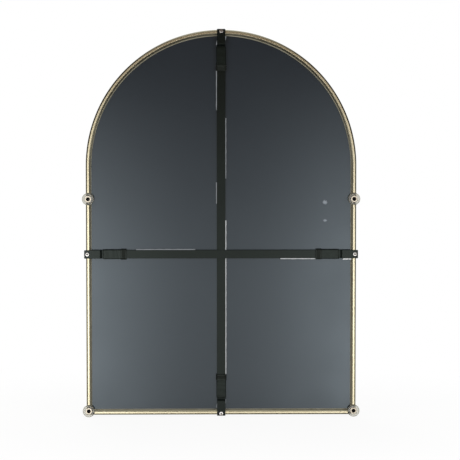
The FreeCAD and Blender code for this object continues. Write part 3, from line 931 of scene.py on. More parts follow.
class StrapEnd(Enum):
    """The ends of the crossed straps, each with the direction inward along the strap and the one across it."""

    RIGHT = ("right", (-1.0, 0.0, 0.0), (0.0, 0.0, 1.0))
    LEFT = ("left", (1.0, 0.0, 0.0), (0.0, 0.0, -1.0))
    TOP = ("top", (0.0, 0.0, -1.0), (1.0, 0.0, 0.0))
    BOTTOM = ("bottom", (0.0, 0.0, 1.0), (-1.0, 0.0, 0.0))

    @property
    def label(self) -> str:
        """The end's name in the names of nodes."""
        return self.value[0]

    @property
    def inward(self) -> np.ndarray:
        """Direction inward along the strap."""
        return np.array(self.value[1])

    @property
    def across(self) -> np.ndarray:
        """Direction across the strap."""
        return np.array(self.value[2])

    def half_width(self, node: str) -> float:
        """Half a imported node's size across the strap."""
        low, high = node_box(node)
        return float(np.abs((high - low) @ self.across)) / 2

    def outer_middle(self, node: str) -> tuple[np.ndarray, float]:
        """Middle of a node's outer end, at zero depth, and the node's length along the strap.

        Args:
            node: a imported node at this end.

        Returns:
            The point and the length.
        """
        low, high = node_box(node)
        along = np.abs(self.inward)
        point = (low + high) / 2 * (1 - along) + np.where(self.inward < 0, high, low) * along
        point[1] = 0.0
        return point, float((high - low) @ along)

    def overhang(self) -> float:
        """How far this end's bracket stands out past the frame's edge.

        Returns:
            The distance in millimetres.
        """
        edge, _ = self.outer_middle("frame_arch")
        tip, _ = self.outer_middle(f"end_bracket_{self.label}")
        return float((edge - tip) @ self.inward)

    def place(self, origin: np.ndarray, inward: np.ndarray, across: np.ndarray, depth: np.ndarray) -> np.ndarray:
        """Turns distances inward, across and in depth into points: origin + inward i + across a + depth y.

        Args:
            origin: the outer end's middle.
            inward: distances along the strap.
            across: distances across it.
            depth: depths.

        Returns:
            Points with the three coordinates last.
        """
        out = np.array([0.0, 1.0, 0.0])
        return origin + inward[..., None] * self.inward + across[..., None] * self.across + depth[..., None] * out


def close_ends(sections: np.ndarray) -> np.ndarray:
    """Adds a middle point before the first section and after the last, so that a swept bar is closed.

    Args:
        sections: points by station and section point.

    Returns:
        The sections with one more at each end, drawn together to its middle.
    """
    ends = sections[[0, -1]]
    first, last = np.broadcast_to(ends.mean(axis=1, keepdims=True), ends.shape)
    return np.concatenate([first[None], sections, last[None]])


@dataclass
class SafetyStraps:
    """Two black steel strips that cross behind the glass, each joined to the frame by stepped end brackets."""

    edge_radius: float = 0.45
    bracket_thickness: float = 2.0
    bracket_corner: float = 1.5
    step_from_edge: float = 31.0
    step_run: float = 5.0
    sleeve_wall: float = 1.0
    sleeve_corner: float = 1.7
    sleeve_lip: float = 0.4
    # Shares of the lip and of the wall at which the sleeve's mouth has turned from its outside
    lip_turn: float = 0.3
    wall_turn: float = 0.12
    wrinkle: float = 0.05
    wrinkle_length: float = 11.0
    wrinkle_wander: float = 1.3
    wander_rate: float = 0.37
    wrinkle_slant: float = 0.12
    keeper_wall: float = 1.2
    keeper_round: float = 0.6
    groove_depth: float = 0.35
    groove_width: float = 0.8
    groove_places: tuple[float, ...] = (0.36, 0.64)
    strip_stations: int = 33
    corner_stations: int = 9
    plate_stations: int = 8
    step_stations: int = 22
    step_margin: float = 1.0
    sleeve_stations: int = 40
    keeper_stations: int = 81

    def strip(self, node: str, end: StrapEnd) -> Grid:
        """Flat strip with rounded edges: one rounded section carried from end to end.

        Args:
            node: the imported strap.
            end: the end that it starts from.

        Returns:
            The closed patch.
        """
        low, high = node_box(node)
        origin, length = end.outer_middle(node)
        loop = box_loop(end.half_width(node), (high[1] - low[1]) / 2, self.edge_radius)
        runs = np.linspace(0.0, length, self.strip_stations)[:, None]
        across = np.broadcast_to(loop[None, :, 0], (len(runs), len(loop)))
        depth = np.broadcast_to(loop[None, :, 1] + (low[1] + high[1]) / 2, across.shape)
        inward = np.broadcast_to(runs, across.shape)
        return Grid.of(close_ends(end.place(origin, inward, across, depth)))

    def bracket(self, end: StrapEnd) -> Grid:
        """End bracket: a plate on the frame that steps down to the strap.

        The front face's depth falls from the frame's back to the strap by a smooth step; a section point is set off
        from it along the slope's own normal, and the outer end's corners follow a quarter circle.

        Args:
            end: which end.

        Returns:
            The closed patch.
        """
        node = f"end_bracket_{end.label}"
        low, high = node_box(node)
        origin, length = end.outer_middle(node)
        half_width = end.half_width(node)
        drop = high[1] - low[1] - self.bracket_thickness
        loop = box_loop(half_width, self.bracket_thickness / 2, self.edge_radius)
        corner = self.bracket_corner
        step = end.overhang() + self.step_from_edge
        begin, over = step - self.step_margin, step + self.step_run + self.step_margin
        run = np.unique(np.concatenate([
            corner * (1 - np.cos(np.linspace(0.0, np.pi / 2, self.corner_stations))),
            np.linspace(corner, step, self.plate_stations), np.linspace(begin, over, self.step_stations),
            np.linspace(over, length, self.plate_stations)]))[:, None]
        share = (run - step) / self.step_run
        face = low[1] + drop * (1 - smooth_step(share))
        held = np.clip(share, 0.0, 1.0)
        slope = -drop * 6 * held * (1 - held) / self.step_run
        lean = np.sqrt(1 + slope ** 2)
        inside = np.clip(corner - run, 0.0, corner)
        width = (half_width - corner + np.sqrt(corner ** 2 - inside ** 2)) / half_width
        offset = loop[None, :, 1] + self.bracket_thickness / 2
        inward = run - offset * slope / lean
        depth = face + offset / lean
        across = loop[None, :, 0] * width
        return Grid.of(close_ends(end.place(origin, inward, across, depth)))

    def sleeve(self, end: StrapEnd) -> Grid:
        """Shrunk sleeve over a lap: a rounded tube whose wall turns in at both ends and runs back inside.

        Rear points sink by a sine along the length, whose phase wanders with another sine and leans across the width.

        Args:
            end: which end.

        Returns:
            The closed patch.
        """
        node = f"sleeve_{end.label}"
        low, high = node_box(node)
        origin, length = end.outer_middle(node)
        half_width = end.half_width(node)
        half_depth = (high[1] - low[1]) / 2
        middle = (high[1] + low[1]) / 2
        lip, turn = self.sleeve_lip, self.sleeve_lip * self.lip_turn
        outer = np.linspace(lip, length - lip, self.sleeve_stations)
        rows = np.concatenate([[lip, 0.0, turn], outer, [length - turn, length, length - lip, lip]])
        wall = np.zeros((len(rows), 1))
        wall[[0, -2, -1]] = self.sleeve_wall
        wall[[1, -3]] = self.sleeve_wall / 2
        wall[[2, -4]] = self.sleeve_wall * self.wall_turn
        outside = box_loop(half_width, half_depth, self.sleeve_corner)
        across = outside[None, :, 0] * (1 - wall / half_width)
        height = outside[None, :, 1] * (1 - wall / half_depth)
        inward = np.broadcast_to(rows[:, None], across.shape)
        phase = 2 * np.pi * inward / self.wrinkle_length
        wander = self.wrinkle_wander * np.sin(phase * self.wander_rate)
        ripple = self.wrinkle * (1 + np.sin(phase + wander + across * self.wrinkle_slant))
        depth = middle + height - smooth_step(height / half_depth) * ripple
        return Grid.of(end.place(origin, inward, across, depth))

    def keeper(self, end: StrapEnd) -> Grid:
        """Moulded band around a sleeve's inner end, with rounded edges and shallow grooves.

        The wall's height h over the sleeve is full between two quarter circles at the ends, less a bell curve at
        each groove; a point at height h lies on the sleeve's outline grown by h on every side.

        Args:
            end: which end.

        Returns:
            The closed patch.
        """
        node = f"keeper_{end.label}"
        low, high = node_box(node)
        origin, length = end.outer_middle(node)
        wall, edge = self.keeper_wall, self.keeper_round
        half_width = end.half_width(node) - wall
        half_depth = (high[1] - low[1]) / 2 - wall
        run = length * (1 - np.cos(np.linspace(0.0, np.pi, self.keeper_stations))) / 2
        inside = np.clip(edge - np.minimum(run, length - run), 0.0, edge)
        height = wall - edge + np.sqrt(edge ** 2 - inside ** 2)
        for place in self.groove_places:
            height = height - self.groove_depth * np.exp(-((run - place * length) / self.groove_width) ** 2)
        rows = np.concatenate([[0.0], run, [length, 0.0]])[:, None]
        height = np.concatenate([[0.0], height, [0.0, 0.0]])[:, None, None]
        snug = box_loop(half_width, half_depth, self.sleeve_corner)
        grown = box_loop(half_width + 1, half_depth + 1, self.sleeve_corner + 1)
        loops = snug + height * (grown - snug)
        across = loops[..., 0]
        depth = (low[1] + high[1]) / 2 + loops[..., 1]
        return Grid.of(end.place(origin, np.broadcast_to(rows, across.shape), across, depth))

    def build(self) -> None:
        """Makes the strips, brackets, sleeves and keepers."""
        for node, end in (("strap_vertical", StrapEnd.TOP), ("strap_horizontal", StrapEnd.RIGHT)):
            dress(f"{node}_strip", [self.strip(node, end)], POWDER_COAT, [node])
        for end in StrapEnd:
            for kind, form, shape, finish, slot in (
                    ("end_bracket", "plate", self.bracket, POWDER_COAT, "black_steel"),
                    ("sleeve", "tube", self.sleeve, SHRINK_TUBE, "black_sleeve"),
                    ("keeper", "band", self.keeper, NYLON, "black_nylon")):
                node = f"{kind}_{end.label}"
                dress(f"{node}_{form}", [shape(end)], finish, [node])


@dataclass
class FoamPacking:
    """Lengths of pale foam pressed between the straps and the glass, each standing out past one edge.

    Two thin pads lie askew under the top and bottom brackets.
    """

    edge_radius: float = 0.7
    puff: float = 0.5
    puff_start: float = 0.3
    puff_run: float = 1.2
    free_edge: float = 2.0
    waver: float = 0.25
    waver_length: float = 23.0
    second_waver: float = 0.6
    second_rate: float = 2.7
    second_phase: float = 1.0
    fill: float = 0.7
    pad_width: float = 19.0
    pad_skew: float = 12.0
    rear_margin: float = 1.5
    rear_points: int = 15
    least_stations: int = 12
    station_spacing: float = 3.0
    uprights: tuple[str, ...] = ("foam_strip_upper_1", "foam_strip_upper_2", "foam_strip_upper_3",
                                 "foam_strip_lower")
    levels: tuple[str, ...] = ("foam_strip_right", "foam_strip_left", "foam_pad_left")
    # Lengths that take the paler copy of the foam, which is painted light
    painted_lit: tuple[str, ...] = ("foam_pad_left", "foam_strip_left", "foam_strip_lower")

    def length(self, node: str, end: StrapEnd, strap: str) -> Grid:
        """One length of foam: a rounded block that swells where it stands out past its strap.

        The rear face rises by a smooth step beyond the strap's edge, and the free edge wavers by a sum of sines
        along the length, as a hand-cut edge does.

        Args:
            node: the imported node.
            end: the strap end that gives the directions.
            strap: the strap that it lies under.

        Returns:
            The closed patch.
        """
        low, high = node_box(node)
        strap_low, strap_high = node_box(strap)
        origin, length = end.outer_middle(node)
        half_width, half_depth = end.half_width(node), (high[1] - low[1]) / 2
        shift = (low + high - strap_low - strap_high) @ end.across / 2
        toward = np.sign(shift)
        loop = box_loop(half_width, half_depth, self.edge_radius)
        spread = np.linspace(half_width - self.rear_margin, self.rear_margin - half_width, self.rear_points)
        rear_face = np.stack([spread, np.full_like(spread, half_depth)], axis=1)
        after = (len(loop) - 1) // 2
        loop = np.vstack([loop[:after], rear_face, loop[after:]])
        stations = max(self.least_stations, int(length / self.station_spacing))
        runs = np.linspace(0.0, length, stations)[:, None]
        phase = 2 * np.pi * runs / self.waver_length
        second = self.second_waver * np.sin(self.second_rate * phase + self.second_phase)
        waver = self.waver * (np.sin(phase) + second) / (1 + self.second_waver)
        across = loop[None, :, 0] + np.zeros_like(runs)
        edge = smooth_step((toward * across - half_width + self.free_edge) / self.free_edge)
        across = across + toward * edge * (waver - self.waver)
        beyond = toward * (across + shift) - end.half_width(strap)
        rear = smooth_step(loop[None, :, 1] / half_depth)
        swell = self.puff * smooth_step((beyond - self.puff_start) / self.puff_run) * rear
        depth = loop[None, :, 1] + (low[1] + high[1]) / 2 + swell
        inward = np.broadcast_to(runs, across.shape)
        return Grid.of(close_ends(end.place(origin, inward, across, depth)))

    def thin_pad(self, node: str, end: StrapEnd) -> Grid:
        """One thin pad: a rounded block, turned by its skew in the plane of the glass.

        A point a along and c across goes to a cos s - c sin s and a sin s + c cos s.

        Args:
            node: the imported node.
            end: the strap end that gives the directions.

        Returns:
            The closed patch.
        """
        low, high = node_box(node)
        origin, reach = end.outer_middle(node)
        skew = math.radians(self.pad_skew)
        half_width = self.pad_width / 2
        half_length = (reach / 2 - half_width * math.sin(skew)) / math.cos(skew)
        loop = box_loop(half_width, (high[1] - low[1]) / 2, self.edge_radius)
        runs = np.linspace(-half_length, half_length, self.least_stations)[:, None]
        inward = reach / 2 + runs * math.cos(skew) - loop[None, :, 0] * math.sin(skew)
        across = runs * math.sin(skew) + loop[None, :, 0] * math.cos(skew)
        depth = np.broadcast_to((low[1] + high[1]) / 2 + loop[None, :, 1], across.shape)
        return Grid.of(close_ends(end.place(origin, inward, across, depth)))

    def build(self) -> None:
        for end in (StrapEnd.TOP, StrapEnd.BOTTOM):
            node = f"foam_pad_{end.label}"
            piece = dress(f"{node}_foam", [self.thin_pad(node, end)], FOAM, [node])
        for nodes, end, strap in ((self.uprights, StrapEnd.TOP, "strap_vertical"),
                                  (self.levels, StrapEnd.RIGHT, "strap_horizontal")):
            for node in nodes:
                # The paler copy is painted light; the other lengths keep the plain foam colour
                finish = FOAM_PAINTED_LIT if node in self.painted_lit else FOAM
                piece = dress(f"{node}_foam", [self.length(node, end, strap)], finish, [node])


@dataclass
class WallBumpers:
    """Four clear discs on the frame's back, each with a plated eyelet and, inside it, a blind black cup that is
    painted shade for the depth of the hole.
    """

    seat_radius: float = 7.8
    seat_depth: float = 1.4
    seat_clearance: float = 0.3
    hole_radius: float = 3.55
    flange: float = 0.8
    barrel_radius: float = 3.5
    bore_radius: float = 3.1
    mouth_radius: float = 4.4
    mouth_depth: float = 3.4
    mouth_wall: float = 0.3
    mouth_clearance: float = 0.1
    # A black cup of painted shade lines each eyelet's bore: its wall, how far its rim sits below the flange, and its
    # clearance
    shade_lining: float = 0.2
    shade_lining_drop: float = 0.25
    shade_lining_clearance: float = 0.01
    # Corner radii of a section, in the order of its corners, and how close points stand beside them
    disc_radii: tuple[float, ...] = (0.1, 0.4, 1.8, 0.5, 0.15, 0.1, 0.1)
    disc_shoulder: float = 0.05
    eyelet_radii: tuple[float, ...] = (0.08, 0.08, 0.2, 0.1, 0.3, 0.45, 0.3, 0.3)
    eyelet_shoulder: float = 0.02
    eyelet_segments: int = 64
    places: tuple[str, ...] = ("right_side", "left_side", "right_corner", "left_corner")

    def centres(self) -> list[tuple[float, float]]:
        """X and Z of the four discs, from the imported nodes."""
        boxes = [node_box(f"bumper_{place}") for place in self.places]
        return [tuple(((low + high) / 2)[[0, 2]]) for low, high in boxes]

    def disc(self, place: str, centre: tuple[float, float]) -> Grid:
        """One disc: a rounded ring section turned about its hole, sunk at the rear for the eyelet.

        Args:
            place: where on the frame it sits, as in its node's name.
            centre: X and Z of its axis.

        Returns:
            The closed patch.
        """
        low, high = node_box(f"bumper_{place}")
        outer = (high[0] - low[0]) / 2
        seat = high[1] - self.seat_depth
        flare = self.mouth_radius + self.mouth_wall + self.mouth_clearance
        corners = [(self.hole_radius, low[1]), (outer, low[1]), (outer, high[1]), (self.seat_radius, high[1]),
                   (self.seat_radius, seat), (flare, seat), (self.hole_radius, seat - self.mouth_depth)]
        return turned(rounded_loop(corners, self.disc_radii, shoulder=self.disc_shoulder), centre)

    def eyelet(self, centre: tuple[float, float]) -> Grid:
        """One eyelet: a thin barrel that widens to a funnel mouth with a rolled flange, turned about its bore.

        Args:
            centre: X and Z of its axis.

        Returns:
            The closed patch.
        """
        low, high = node_box("socket_eyelets")
        outer = self.seat_radius - self.seat_clearance
        under = high[1] - self.flange
        throat = high[1] - self.mouth_depth
        inner = self.bore_radius + self.shade_lining
        corners = [(inner, low[1]), (self.barrel_radius, low[1]), (self.barrel_radius, throat),
                   (self.mouth_radius + self.mouth_wall, under), (outer, under), (outer, high[1]),
                   (self.mouth_radius, high[1]), (inner, throat)]
        section = rounded_loop(corners, self.eyelet_radii, shoulder=self.eyelet_shoulder)
        return turned(section, centre, self.eyelet_segments)

    def socket(self, centre: tuple[float, float]) -> Grid:
        """One cup of painted shade: a thin black blind cup that follows the eyelet's bore and funnel, turned about
        the axis, dark where the deep hole would be dark from shade.

        Args:
            centre: X and Z of the axis.

        Returns:
            The closed patch.
        """
        low, high = node_box("socket_eyelets")
        throat = high[1] - self.mouth_depth
        rim = high[1] - self.shade_lining_drop
        bore, gap = self.bore_radius, self.shade_lining_clearance
        outer = bore + self.shade_lining - gap
        mouth = outer + (self.mouth_radius - outer) * (1 - self.shade_lining_drop / self.mouth_depth) - 2 * gap
        profile = np.array([(0.0, low[1]), (outer, low[1]), (outer, throat), (mouth, rim), (mouth - self.shade_lining, rim),
                            (bore, throat), (bore, low[1] + self.shade_lining), (0.0, low[1] + self.shade_lining)])
        return turned(profile, centre, self.eyelet_segments)

    def build(self) -> None:
        """Makes the discs, the eyelets and the black cups of painted shade in their bores."""
        centres = self.centres()
        for place, centre in zip(self.places, centres):
            dress(f"bumper_{place}_disc", [self.disc(place, centre)], VINYL, [f"bumper_{place}"])
        dress("socket_eyelets_rings", [self.eyelet(centre) for centre in centres], NICKEL,
              ["socket_eyelets"])
        # Black cups inside the eyelets, painted shade that stands in for the darkness deep in the holes
        dress("socket_eyelets_painted_shade_linings", [self.socket(centre) for centre in centres], BLACK_RUBBER_AND_SHADE, [])


@dataclass
class BracketScrews:
    """Four pan-head screws, one through each end bracket into the frame."""

    head_radius: float = 4.0
    head_height: float = 2.4
    rim_height: float = 2.25
    shank_radius: float = 1.45
    from_edge: float = 2.8
    cross_half: float = 2.4
    cross_slot: float = 0.6
    cross_depth: float = 2.2
    cross_taper: float = 0.4
    # Share of its depth that an arm of the cross loses towards its end, and the least that it keeps
    cross_rise: float = 0.5
    cross_least: float = 0.3
    well_radius: float = 1.9
    tip_length: float = 2.0
    tip_share: float = 0.35
    rings: int = 40
    segments: int = 128

    def screw(self, end: StrapEnd) -> Grid:
        """One screw: a domed head with a cross recess, and a plain shank.

        The head's height is a sphere cap over the radius, less the recess: its depth times how far a point lies
        inside either arm of the cross, eased over the taper, or inside the pointed well in its middle. Below the rim,
        rings run in to the shank and its tip.

        Args:
            end: which end.

        Returns:
            The closed patch.
        """
        bracket = f"end_bracket_{end.label}"
        centre = end.outer_middle(bracket)[0] + end.inward * (end.overhang() + self.from_edge)
        seat = node_box(bracket)[1][1]
        tip = node_box("bracket_screws")[0][1]
        rise = self.head_height - self.rim_height
        sphere = (self.head_radius ** 2 + rise ** 2) / (2 * rise)
        turn = np.linspace(0.0, 2 * np.pi, self.segments + 1)[None, :]
        radius = np.linspace(0.0, self.head_radius, self.rings)[:, None]
        u, v = radius * np.cos(turn), radius * np.sin(turn)
        dome = np.sqrt(sphere ** 2 - radius ** 2) - sphere + rise + self.rim_height
        slot = self.cross_slot + self.cross_taper / 2
        arms = [np.minimum(smooth_step((slot - np.abs(aside)) / self.cross_taper),
                           smooth_step((self.cross_half - np.abs(along)) / self.cross_taper))
                for aside, along in ((u, v), (v, u))]
        well = (1 - radius / self.well_radius).clip(0.0, 1.0)
        kept = (1 - self.cross_rise * radius / self.cross_half).clip(self.cross_least, 1.0)
        hollow = self.cross_depth * np.maximum(np.maximum(*arms) * kept, well)
        height = seat + dome - hollow
        shank = self.shank_radius
        lower = np.array([(self.head_radius, seat), (shank, seat), (shank, tip + self.tip_length),
                          (shank * self.tip_share, tip), (0.0, tip)])
        below = np.broadcast_to(lower[:, :1], (len(lower), turn.shape[1]))
        u = np.vstack([u, below * np.cos(turn)])
        v = np.vstack([v, below * np.sin(turn)])
        depth = np.vstack([height, np.broadcast_to(lower[:, 1:], below.shape)])
        return Grid.of(np.stack([centre[0] + u, depth, centre[2] + v], axis=2))

    def build(self) -> None:
        """Makes the screws as one piece."""
        dress("bracket_screws_heads", [self.screw(end) for end in StrapEnd], ZINC,
              ["bracket_screws"], PLAIN_CREASE)


@dataclass
class HiddenParts:
    """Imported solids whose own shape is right: they keep it and take a finish."""

    finishes: tuple[tuple[str, Finish], ...] = (
        ("glazing_gasket", TAPE), ("corner_key_right", MILL_ALUMINIUM), ("corner_key_left", MILL_ALUMINIUM),
        ("setting_blocks", BLACK_RUBBER_AND_SHADE), ("side_blocks", BLACK_RUBBER_AND_SHADE), ("lap_rivets", ZINC))

    def build(self) -> None:
        """Gives each solid its finish."""
        for node, finish in self.finishes:
            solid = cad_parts[node]
            solid.data.materials.clear()
            solid.data.materials.append(finish.material())
            LOG.info("%s: packed solid, %s", node, finish.name)


@dataclass(frozen=True)
class SoftLamp:
    """A square soft lamp: its name, where it hangs, the length of its side and its power; metres and watts."""

    name: str
    place: tuple[float, float, float]
    size: float
    watts: float


@dataclass
class Studio:
    """Pale floor, a white sweep that only glossy surfaces see, dim surroundings and soft lamps; metres here.

    Seen in the back paint, the sweep is one pool of light: brighter to both sides, as under two soft boxes, fading
    upwards from the mirror's middle and ending a little below it.
    """

    floor_rings: tuple[float, ...] = (0.0, 0.4, 0.8, 1.4, 2.2, 3.4, 6.0)
    floor_segments: int = 96
    floor_colour: str = "#F4F3F0"
    shadow_share: float = 0.09
    shadow_near: float = 0.5
    shadow_far: float = 1.1
    sweep_distance: float = 3.2
    sweep_half_width: float = 2.4
    sweep_half_height: float = 2.6
    pool_middle: float = 1.19
    pool_sides: float = 2.2
    pool_shift: float = -0.03
    pool_half_width: float = 0.46
    pool_widest: float = 1.15
    pool_edge_shift: float = 0.06
    pool_edge_from: float = 0.57
    pool_edge_to: float = 0.89
    pool_top: float = 0.35
    pool_full: float = -0.46
    pool_bend: float = 1.17
    pool_fading: float = -0.95
    pool_end: float = -1.12
    sweep_dim: float = 0.22
    dim_colour: str = "#FFDBBD"
    surround_front: float = 0.9
    front_from: float = -0.15
    front_full: float = -0.6
    # Height of a heading, from straight down at -1 to straight up at 1, and how bright the surround is there
    surround_levels: tuple[tuple[float, float], ...] = (
        (-1.0, 0.3), (-0.95, 0.12), (-0.8, 0.08), (-0.5, 0.12), (-0.2, 0.45), (-0.08, 0.25), (0.0, 0.06),
        (0.75, 0.03), (0.88, 0.3), (1.0, 0.65))
    ambient: float = 0.5
    lamps: tuple[SoftLamp, ...] = (
        SoftLamp("lamp_back_right", (2.2, 2.4, 0.9), 1.4, 34.0),
        SoftLamp("lamp_back_left", (-2.2, 2.4, 0.9), 1.4, 34.0),
        SoftLamp("lamp_front", (0.6, -3.0, 1.4), 1.6, 40.0))
    lamp_aim: tuple[float, float, float] = (0.0, 0.0, -0.05)

    def stage_material(self, name: str) -> tuple[bpy.types.Material, bpy.types.NodeTree]:
        """Opens a material for the stage, which is never sampled as a lamp.

        Args:
            name: the material's name.

        Returns:
            The material and its empty node tree.
        """
        material = bpy.data.materials.new(name)
        material.use_nodes = True
        material.cycles.emission_sampling = "NONE"
        material.node_tree.nodes.clear()
        return material, material.node_tree

    def floor(self) -> None:
        """Lays a round floor under the mirror: paper that keeps a soft shadow, fading to white around it."""
        level = CAD_BOX[0][2] / MM
        rings = np.array(self.floor_rings)[:, None] / MM
        turn = np.linspace(0.0, 2 * np.pi, self.floor_segments + 1)[None, :]
        x, y = rings * np.cos(turn), rings * np.sin(turn)
        grid = Grid.of(np.stack([x, y, np.full_like(x, level)], axis=2))
        floor = add_object("studio_floor", mesh_from("studio_floor", [grid], PLAIN_CREASE))
        material, tree = self.stage_material("studio_floor_paper")
        path = add_node(tree, "ShaderNodeLightPath")
        place = add_node(tree, "ShaderNodeTexCoord").outputs["Object"]
        away = add_node(tree, "ShaderNodeVectorMath", {0: place}, operation="LENGTH")
        clear = add_node(tree, "ShaderNodeMapRange", {
            "Value": away.outputs["Value"], "From Min": self.shadow_near, "From Max": self.shadow_far,
            "To Min": 1.0 - self.shadow_share, "To Max": 1.0}, interpolation_type="SMOOTHSTEP")
        seen = add_node(tree, "ShaderNodeMath", {0: path.outputs["Is Camera Ray"], 1: clear.outputs[0]},
                        operation="MULTIPLY")
        shown = add_node(tree, "ShaderNodeMath", {0: seen.outputs[0], 1: path.outputs["Is Transmission Ray"]},
                         operation="MAXIMUM")
        paper = add_node(tree, "ShaderNodeBsdfDiffuse", {"Color": linear(self.floor_colour)})
        white = add_node(tree, "ShaderNodeEmission", {"Strength": 1.0})
        mix = add_node(tree, "ShaderNodeMixShader", {
            0: shown.outputs[0], 1: paper.outputs[0], 2: white.outputs[0]})
        add_node(tree, "ShaderNodeOutputMaterial", {"Surface": mix.outputs[0]})
        floor.data.materials.append(material)
        floor.visible_glossy = False

    def pool(self, tree: bpy.types.NodeTree) -> bpy.types.NodeSocket:
        """Strength of the pool of light on the sweep.

        With u the distance aside of the pool's middle over the half width, it is
        edge(x) * rise(z)^bend * fade(z) * middle * (1 + sides * u^2); edge and fade fall smoothly from 1 to 0, and
        rise falls evenly.

        Args:
            tree: the sweep's node tree.

        Returns:
            The output that carries the strength.
        """
        place = add_node(tree, "ShaderNodeTexCoord").outputs["Object"]
        parts = add_node(tree, "ShaderNodeSeparateXYZ", {0: place})
        x, z = parts.outputs["X"], parts.outputs["Z"]
        aside, outward = [
            add_node(tree, "ShaderNodeMath", {0: add_node(
                tree, "ShaderNodeMath", {0: x, 1: shift}, operation="SUBTRACT").outputs[0]}, operation="ABSOLUTE")
            for shift in (self.pool_shift, self.pool_edge_shift)]
        share = add_node(tree, "ShaderNodeMath", {0: aside.outputs[0], 1: self.pool_half_width}, operation="DIVIDE")
        held = add_node(tree, "ShaderNodeMath", {0: share.outputs[0], 1: self.pool_widest}, operation="MINIMUM")
        square = add_node(tree, "ShaderNodeMath", {0: held.outputs[0], 1: 2.0}, operation="POWER")
        sides = add_node(tree, "ShaderNodeMath", {0: square.outputs[0], 1: self.pool_sides, 2: 1.0},
                         operation="MULTIPLY_ADD")
        edge, fade = [
            add_node(tree, "ShaderNodeMapRange", {
                "Value": value, "From Min": full, "From Max": gone, "To Min": 1.0, "To Max": 0.0},
                interpolation_type="SMOOTHSTEP")
            for value, full, gone in ((outward.outputs[0], self.pool_edge_from, self.pool_edge_to),
                                      (z, self.pool_fading, self.pool_end))]
        climb = add_node(tree, "ShaderNodeMapRange", {
            "Value": z, "From Min": self.pool_top, "From Max": self.pool_full})
        rise = add_node(tree, "ShaderNodeMath", {0: climb.outputs[0], 1: self.pool_bend}, operation="POWER")
        strength = sides.outputs[0]
        for factor in (edge.outputs[0], rise.outputs[0], fade.outputs[0], self.pool_middle):
            strength = add_node(tree, "ShaderNodeMath", {0: strength, 1: factor}, operation="MULTIPLY").outputs[0]
        return strength

    def sweep(self) -> None:
        """Stands a white sweep behind the camera, for glossy surfaces only: the pool on top of a dim warm light."""
        half, height = self.sweep_half_width, self.sweep_half_height
        x, z = np.meshgrid([-half, half], [-height, height])
        points = np.stack([x, np.full_like(x, self.sweep_distance), z], axis=2) / MM
        sweep = add_object("studio_sweep", mesh_from("studio_sweep", [Grid.of(points)], PLAIN_CREASE))
        material, tree = self.stage_material("studio_sweep_paper")
        pool = add_node(tree, "ShaderNodeEmission", {"Strength": self.pool(tree)})
        dim = add_node(tree, "ShaderNodeEmission", {
            "Color": linear(self.dim_colour), "Strength": self.sweep_dim})
        both = add_node(tree, "ShaderNodeAddShader", {0: pool.outputs[0], 1: dim.outputs[0]})
        add_node(tree, "ShaderNodeOutputMaterial", {"Surface": both.outputs[0]})
        sweep.data.materials.append(material)
        sweep.visible_camera = False
        sweep.visible_diffuse = False
        sweep.visible_shadow = False
        sweep.visible_transmission = False

    def surround(self) -> None:
        """White surround for the camera, and a dimmer even light for matt surfaces.

        Glossy surfaces see a bright front, and elsewhere a room whose light changes with height: a dim floor with a
        paler far edge, a dark wall above the horizon and a lit ceiling.
        """
        world = bpy.data.worlds.new("studio_surround")
        bpy.context.scene.world = world
        world.use_nodes = True
        tree = world.node_tree
        tree.nodes.clear()
        path = add_node(tree, "ShaderNodeLightPath")
        heading = add_node(tree, "ShaderNodeTexCoord").outputs["Generated"]
        parts = add_node(tree, "ShaderNodeSeparateXYZ", {0: heading})
        height = add_node(tree, "ShaderNodeMapRange", {"Value": parts.outputs["Z"], "From Min": -1.0})
        room = add_node(tree, "ShaderNodeValToRGB", {0: height.outputs[0]})
        stops = room.color_ramp.elements
        stops.remove(stops[-1])
        for number, (up, level) in enumerate(self.surround_levels):
            stop = stops.new((up + 1) / 2) if number else stops[0]
            stop.color = (level, level, level, 1.0)
        front = add_node(tree, "ShaderNodeMapRange", {
            "Value": parts.outputs["Y"], "From Min": self.front_from, "From Max": self.front_full},
            interpolation_type="SMOOTHSTEP")
        gloss = add_node(tree, "ShaderNodeMix", {
            MIX_FACTOR: front.outputs[0], MIX_LEVEL_A: room.outputs[0], MIX_LEVEL_B: self.surround_front},
            data_type="FLOAT")
        lit = add_node(tree, "ShaderNodeMix", {
            MIX_FACTOR: path.outputs["Is Glossy Ray"], MIX_LEVEL_A: self.ambient, MIX_LEVEL_B: gloss.outputs[0]},
            data_type="FLOAT")
        clear = add_node(tree, "ShaderNodeMath", {
            0: path.outputs["Is Camera Ray"], 1: path.outputs["Is Transmission Ray"]}, operation="MAXIMUM")
        strength = add_node(tree, "ShaderNodeMix", {
            MIX_FACTOR: clear.outputs[0], MIX_LEVEL_A: lit.outputs[0], MIX_LEVEL_B: 1.0}, data_type="FLOAT")
        light = add_node(tree, "ShaderNodeBackground", {
            "Color": (1.0, 1.0, 1.0, 1.0), "Strength": strength.outputs[0]})
        add_node(tree, "ShaderNodeOutputWorld", {"Surface": light.outputs[0]})

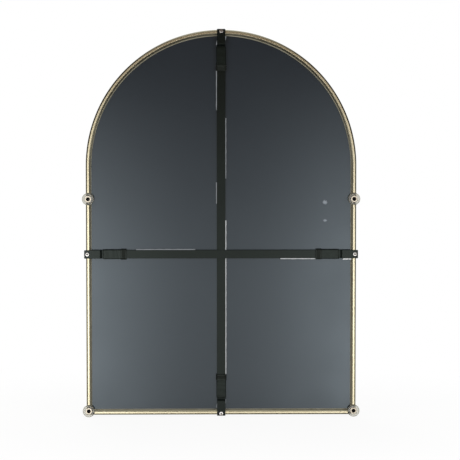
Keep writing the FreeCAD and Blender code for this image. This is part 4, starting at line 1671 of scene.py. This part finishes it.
    def hang(self, lamp: SoftLamp) -> None:
        """Hangs one soft lamp that faces the mirror's middle.

        Args:
            lamp: the lamp.
        """
        light = bpy.data.lights.new(lamp.name, "AREA")
        light.size = lamp.size
        light.energy = lamp.watts
        hung = bpy.data.objects.new(lamp.name, light)
        hung.location = lamp.place
        hung.rotation_mode = "QUATERNION"
        hung.rotation_quaternion = (Vector(self.lamp_aim) - Vector(lamp.place)).to_track_quat("-Z", "Y")
        hung.visible_glossy = False
        hung.visible_camera = False
        bpy.context.scene.collection.objects.link(hung)

    def build(self) -> None:
        """Sets up floor, sweep, surround and lamps."""
        self.floor()
        self.sweep()
        self.surround()
        for lamp in self.lamps:
            self.hang(lamp)


@dataclass
class PhotoCamera:
    """Camera at the photograph's viewing angle: behind the mirror, a little above it and a little to its right."""

    elevation: float = 4.0
    turn: float = 1.0
    distance: float = 5.5
    sensor: float = 36.0
    pixels_per_mm: float = 0.4433
    middle_height: float = -55.0
    middle_pixel_x: float = 221.2
    middle_pixel_y: float = 223.3

    def build(self) -> None:
        """Makes the camera and hands it to the scene."""
        rise, turn = math.radians(self.elevation), math.radians(self.turn)
        back = Vector((math.sin(turn) * math.cos(rise), math.cos(turn) * math.cos(rise), math.sin(rise)))
        right = (-back).cross(Vector((0.0, 0.0, 1.0))).normalized()
        up = right.cross(-back)
        half = PHOTO_PIXELS / 2
        metres_per_pixel = MM / self.pixels_per_mm
        middle = Vector((0.0, node_box("frame_arch")[1][1] * MM, self.middle_height * MM))
        aim = middle + right * (half - self.middle_pixel_x) * metres_per_pixel
        aim -= up * (half - self.middle_pixel_y) * metres_per_pixel
        data = bpy.data.cameras.new("photo_camera")
        data.sensor_width = self.sensor
        data.lens = self.sensor * self.distance / (PHOTO_PIXELS * metres_per_pixel)
        camera = bpy.data.objects.new("photo_camera", data)
        camera.location = aim + back * self.distance
        camera.rotation_mode = "QUATERNION"
        camera.rotation_quaternion = (-back).to_track_quat("-Z", "Y")
        bpy.context.scene.collection.objects.link(camera)
        bpy.context.scene.camera = camera


def main() -> None:
    """Builds and dresses the mirror piece by piece, then the studio and the camera."""
    logging.basicConfig(level=logging.INFO, format="%(message)s")
    bpy.context.scene.view_settings.view_transform = "Standard"
    bumpers = WallBumpers()
    GoldFrame().build(bumpers.centres())
    MirrorPane().build()
    SafetyStraps().build()
    FoamPacking().build()
    bumpers.build()
    BracketScrews().build()
    HiddenParts().build()
    Studio().build()
    PhotoCamera().build()


if __name__ == "__main__":
    main()
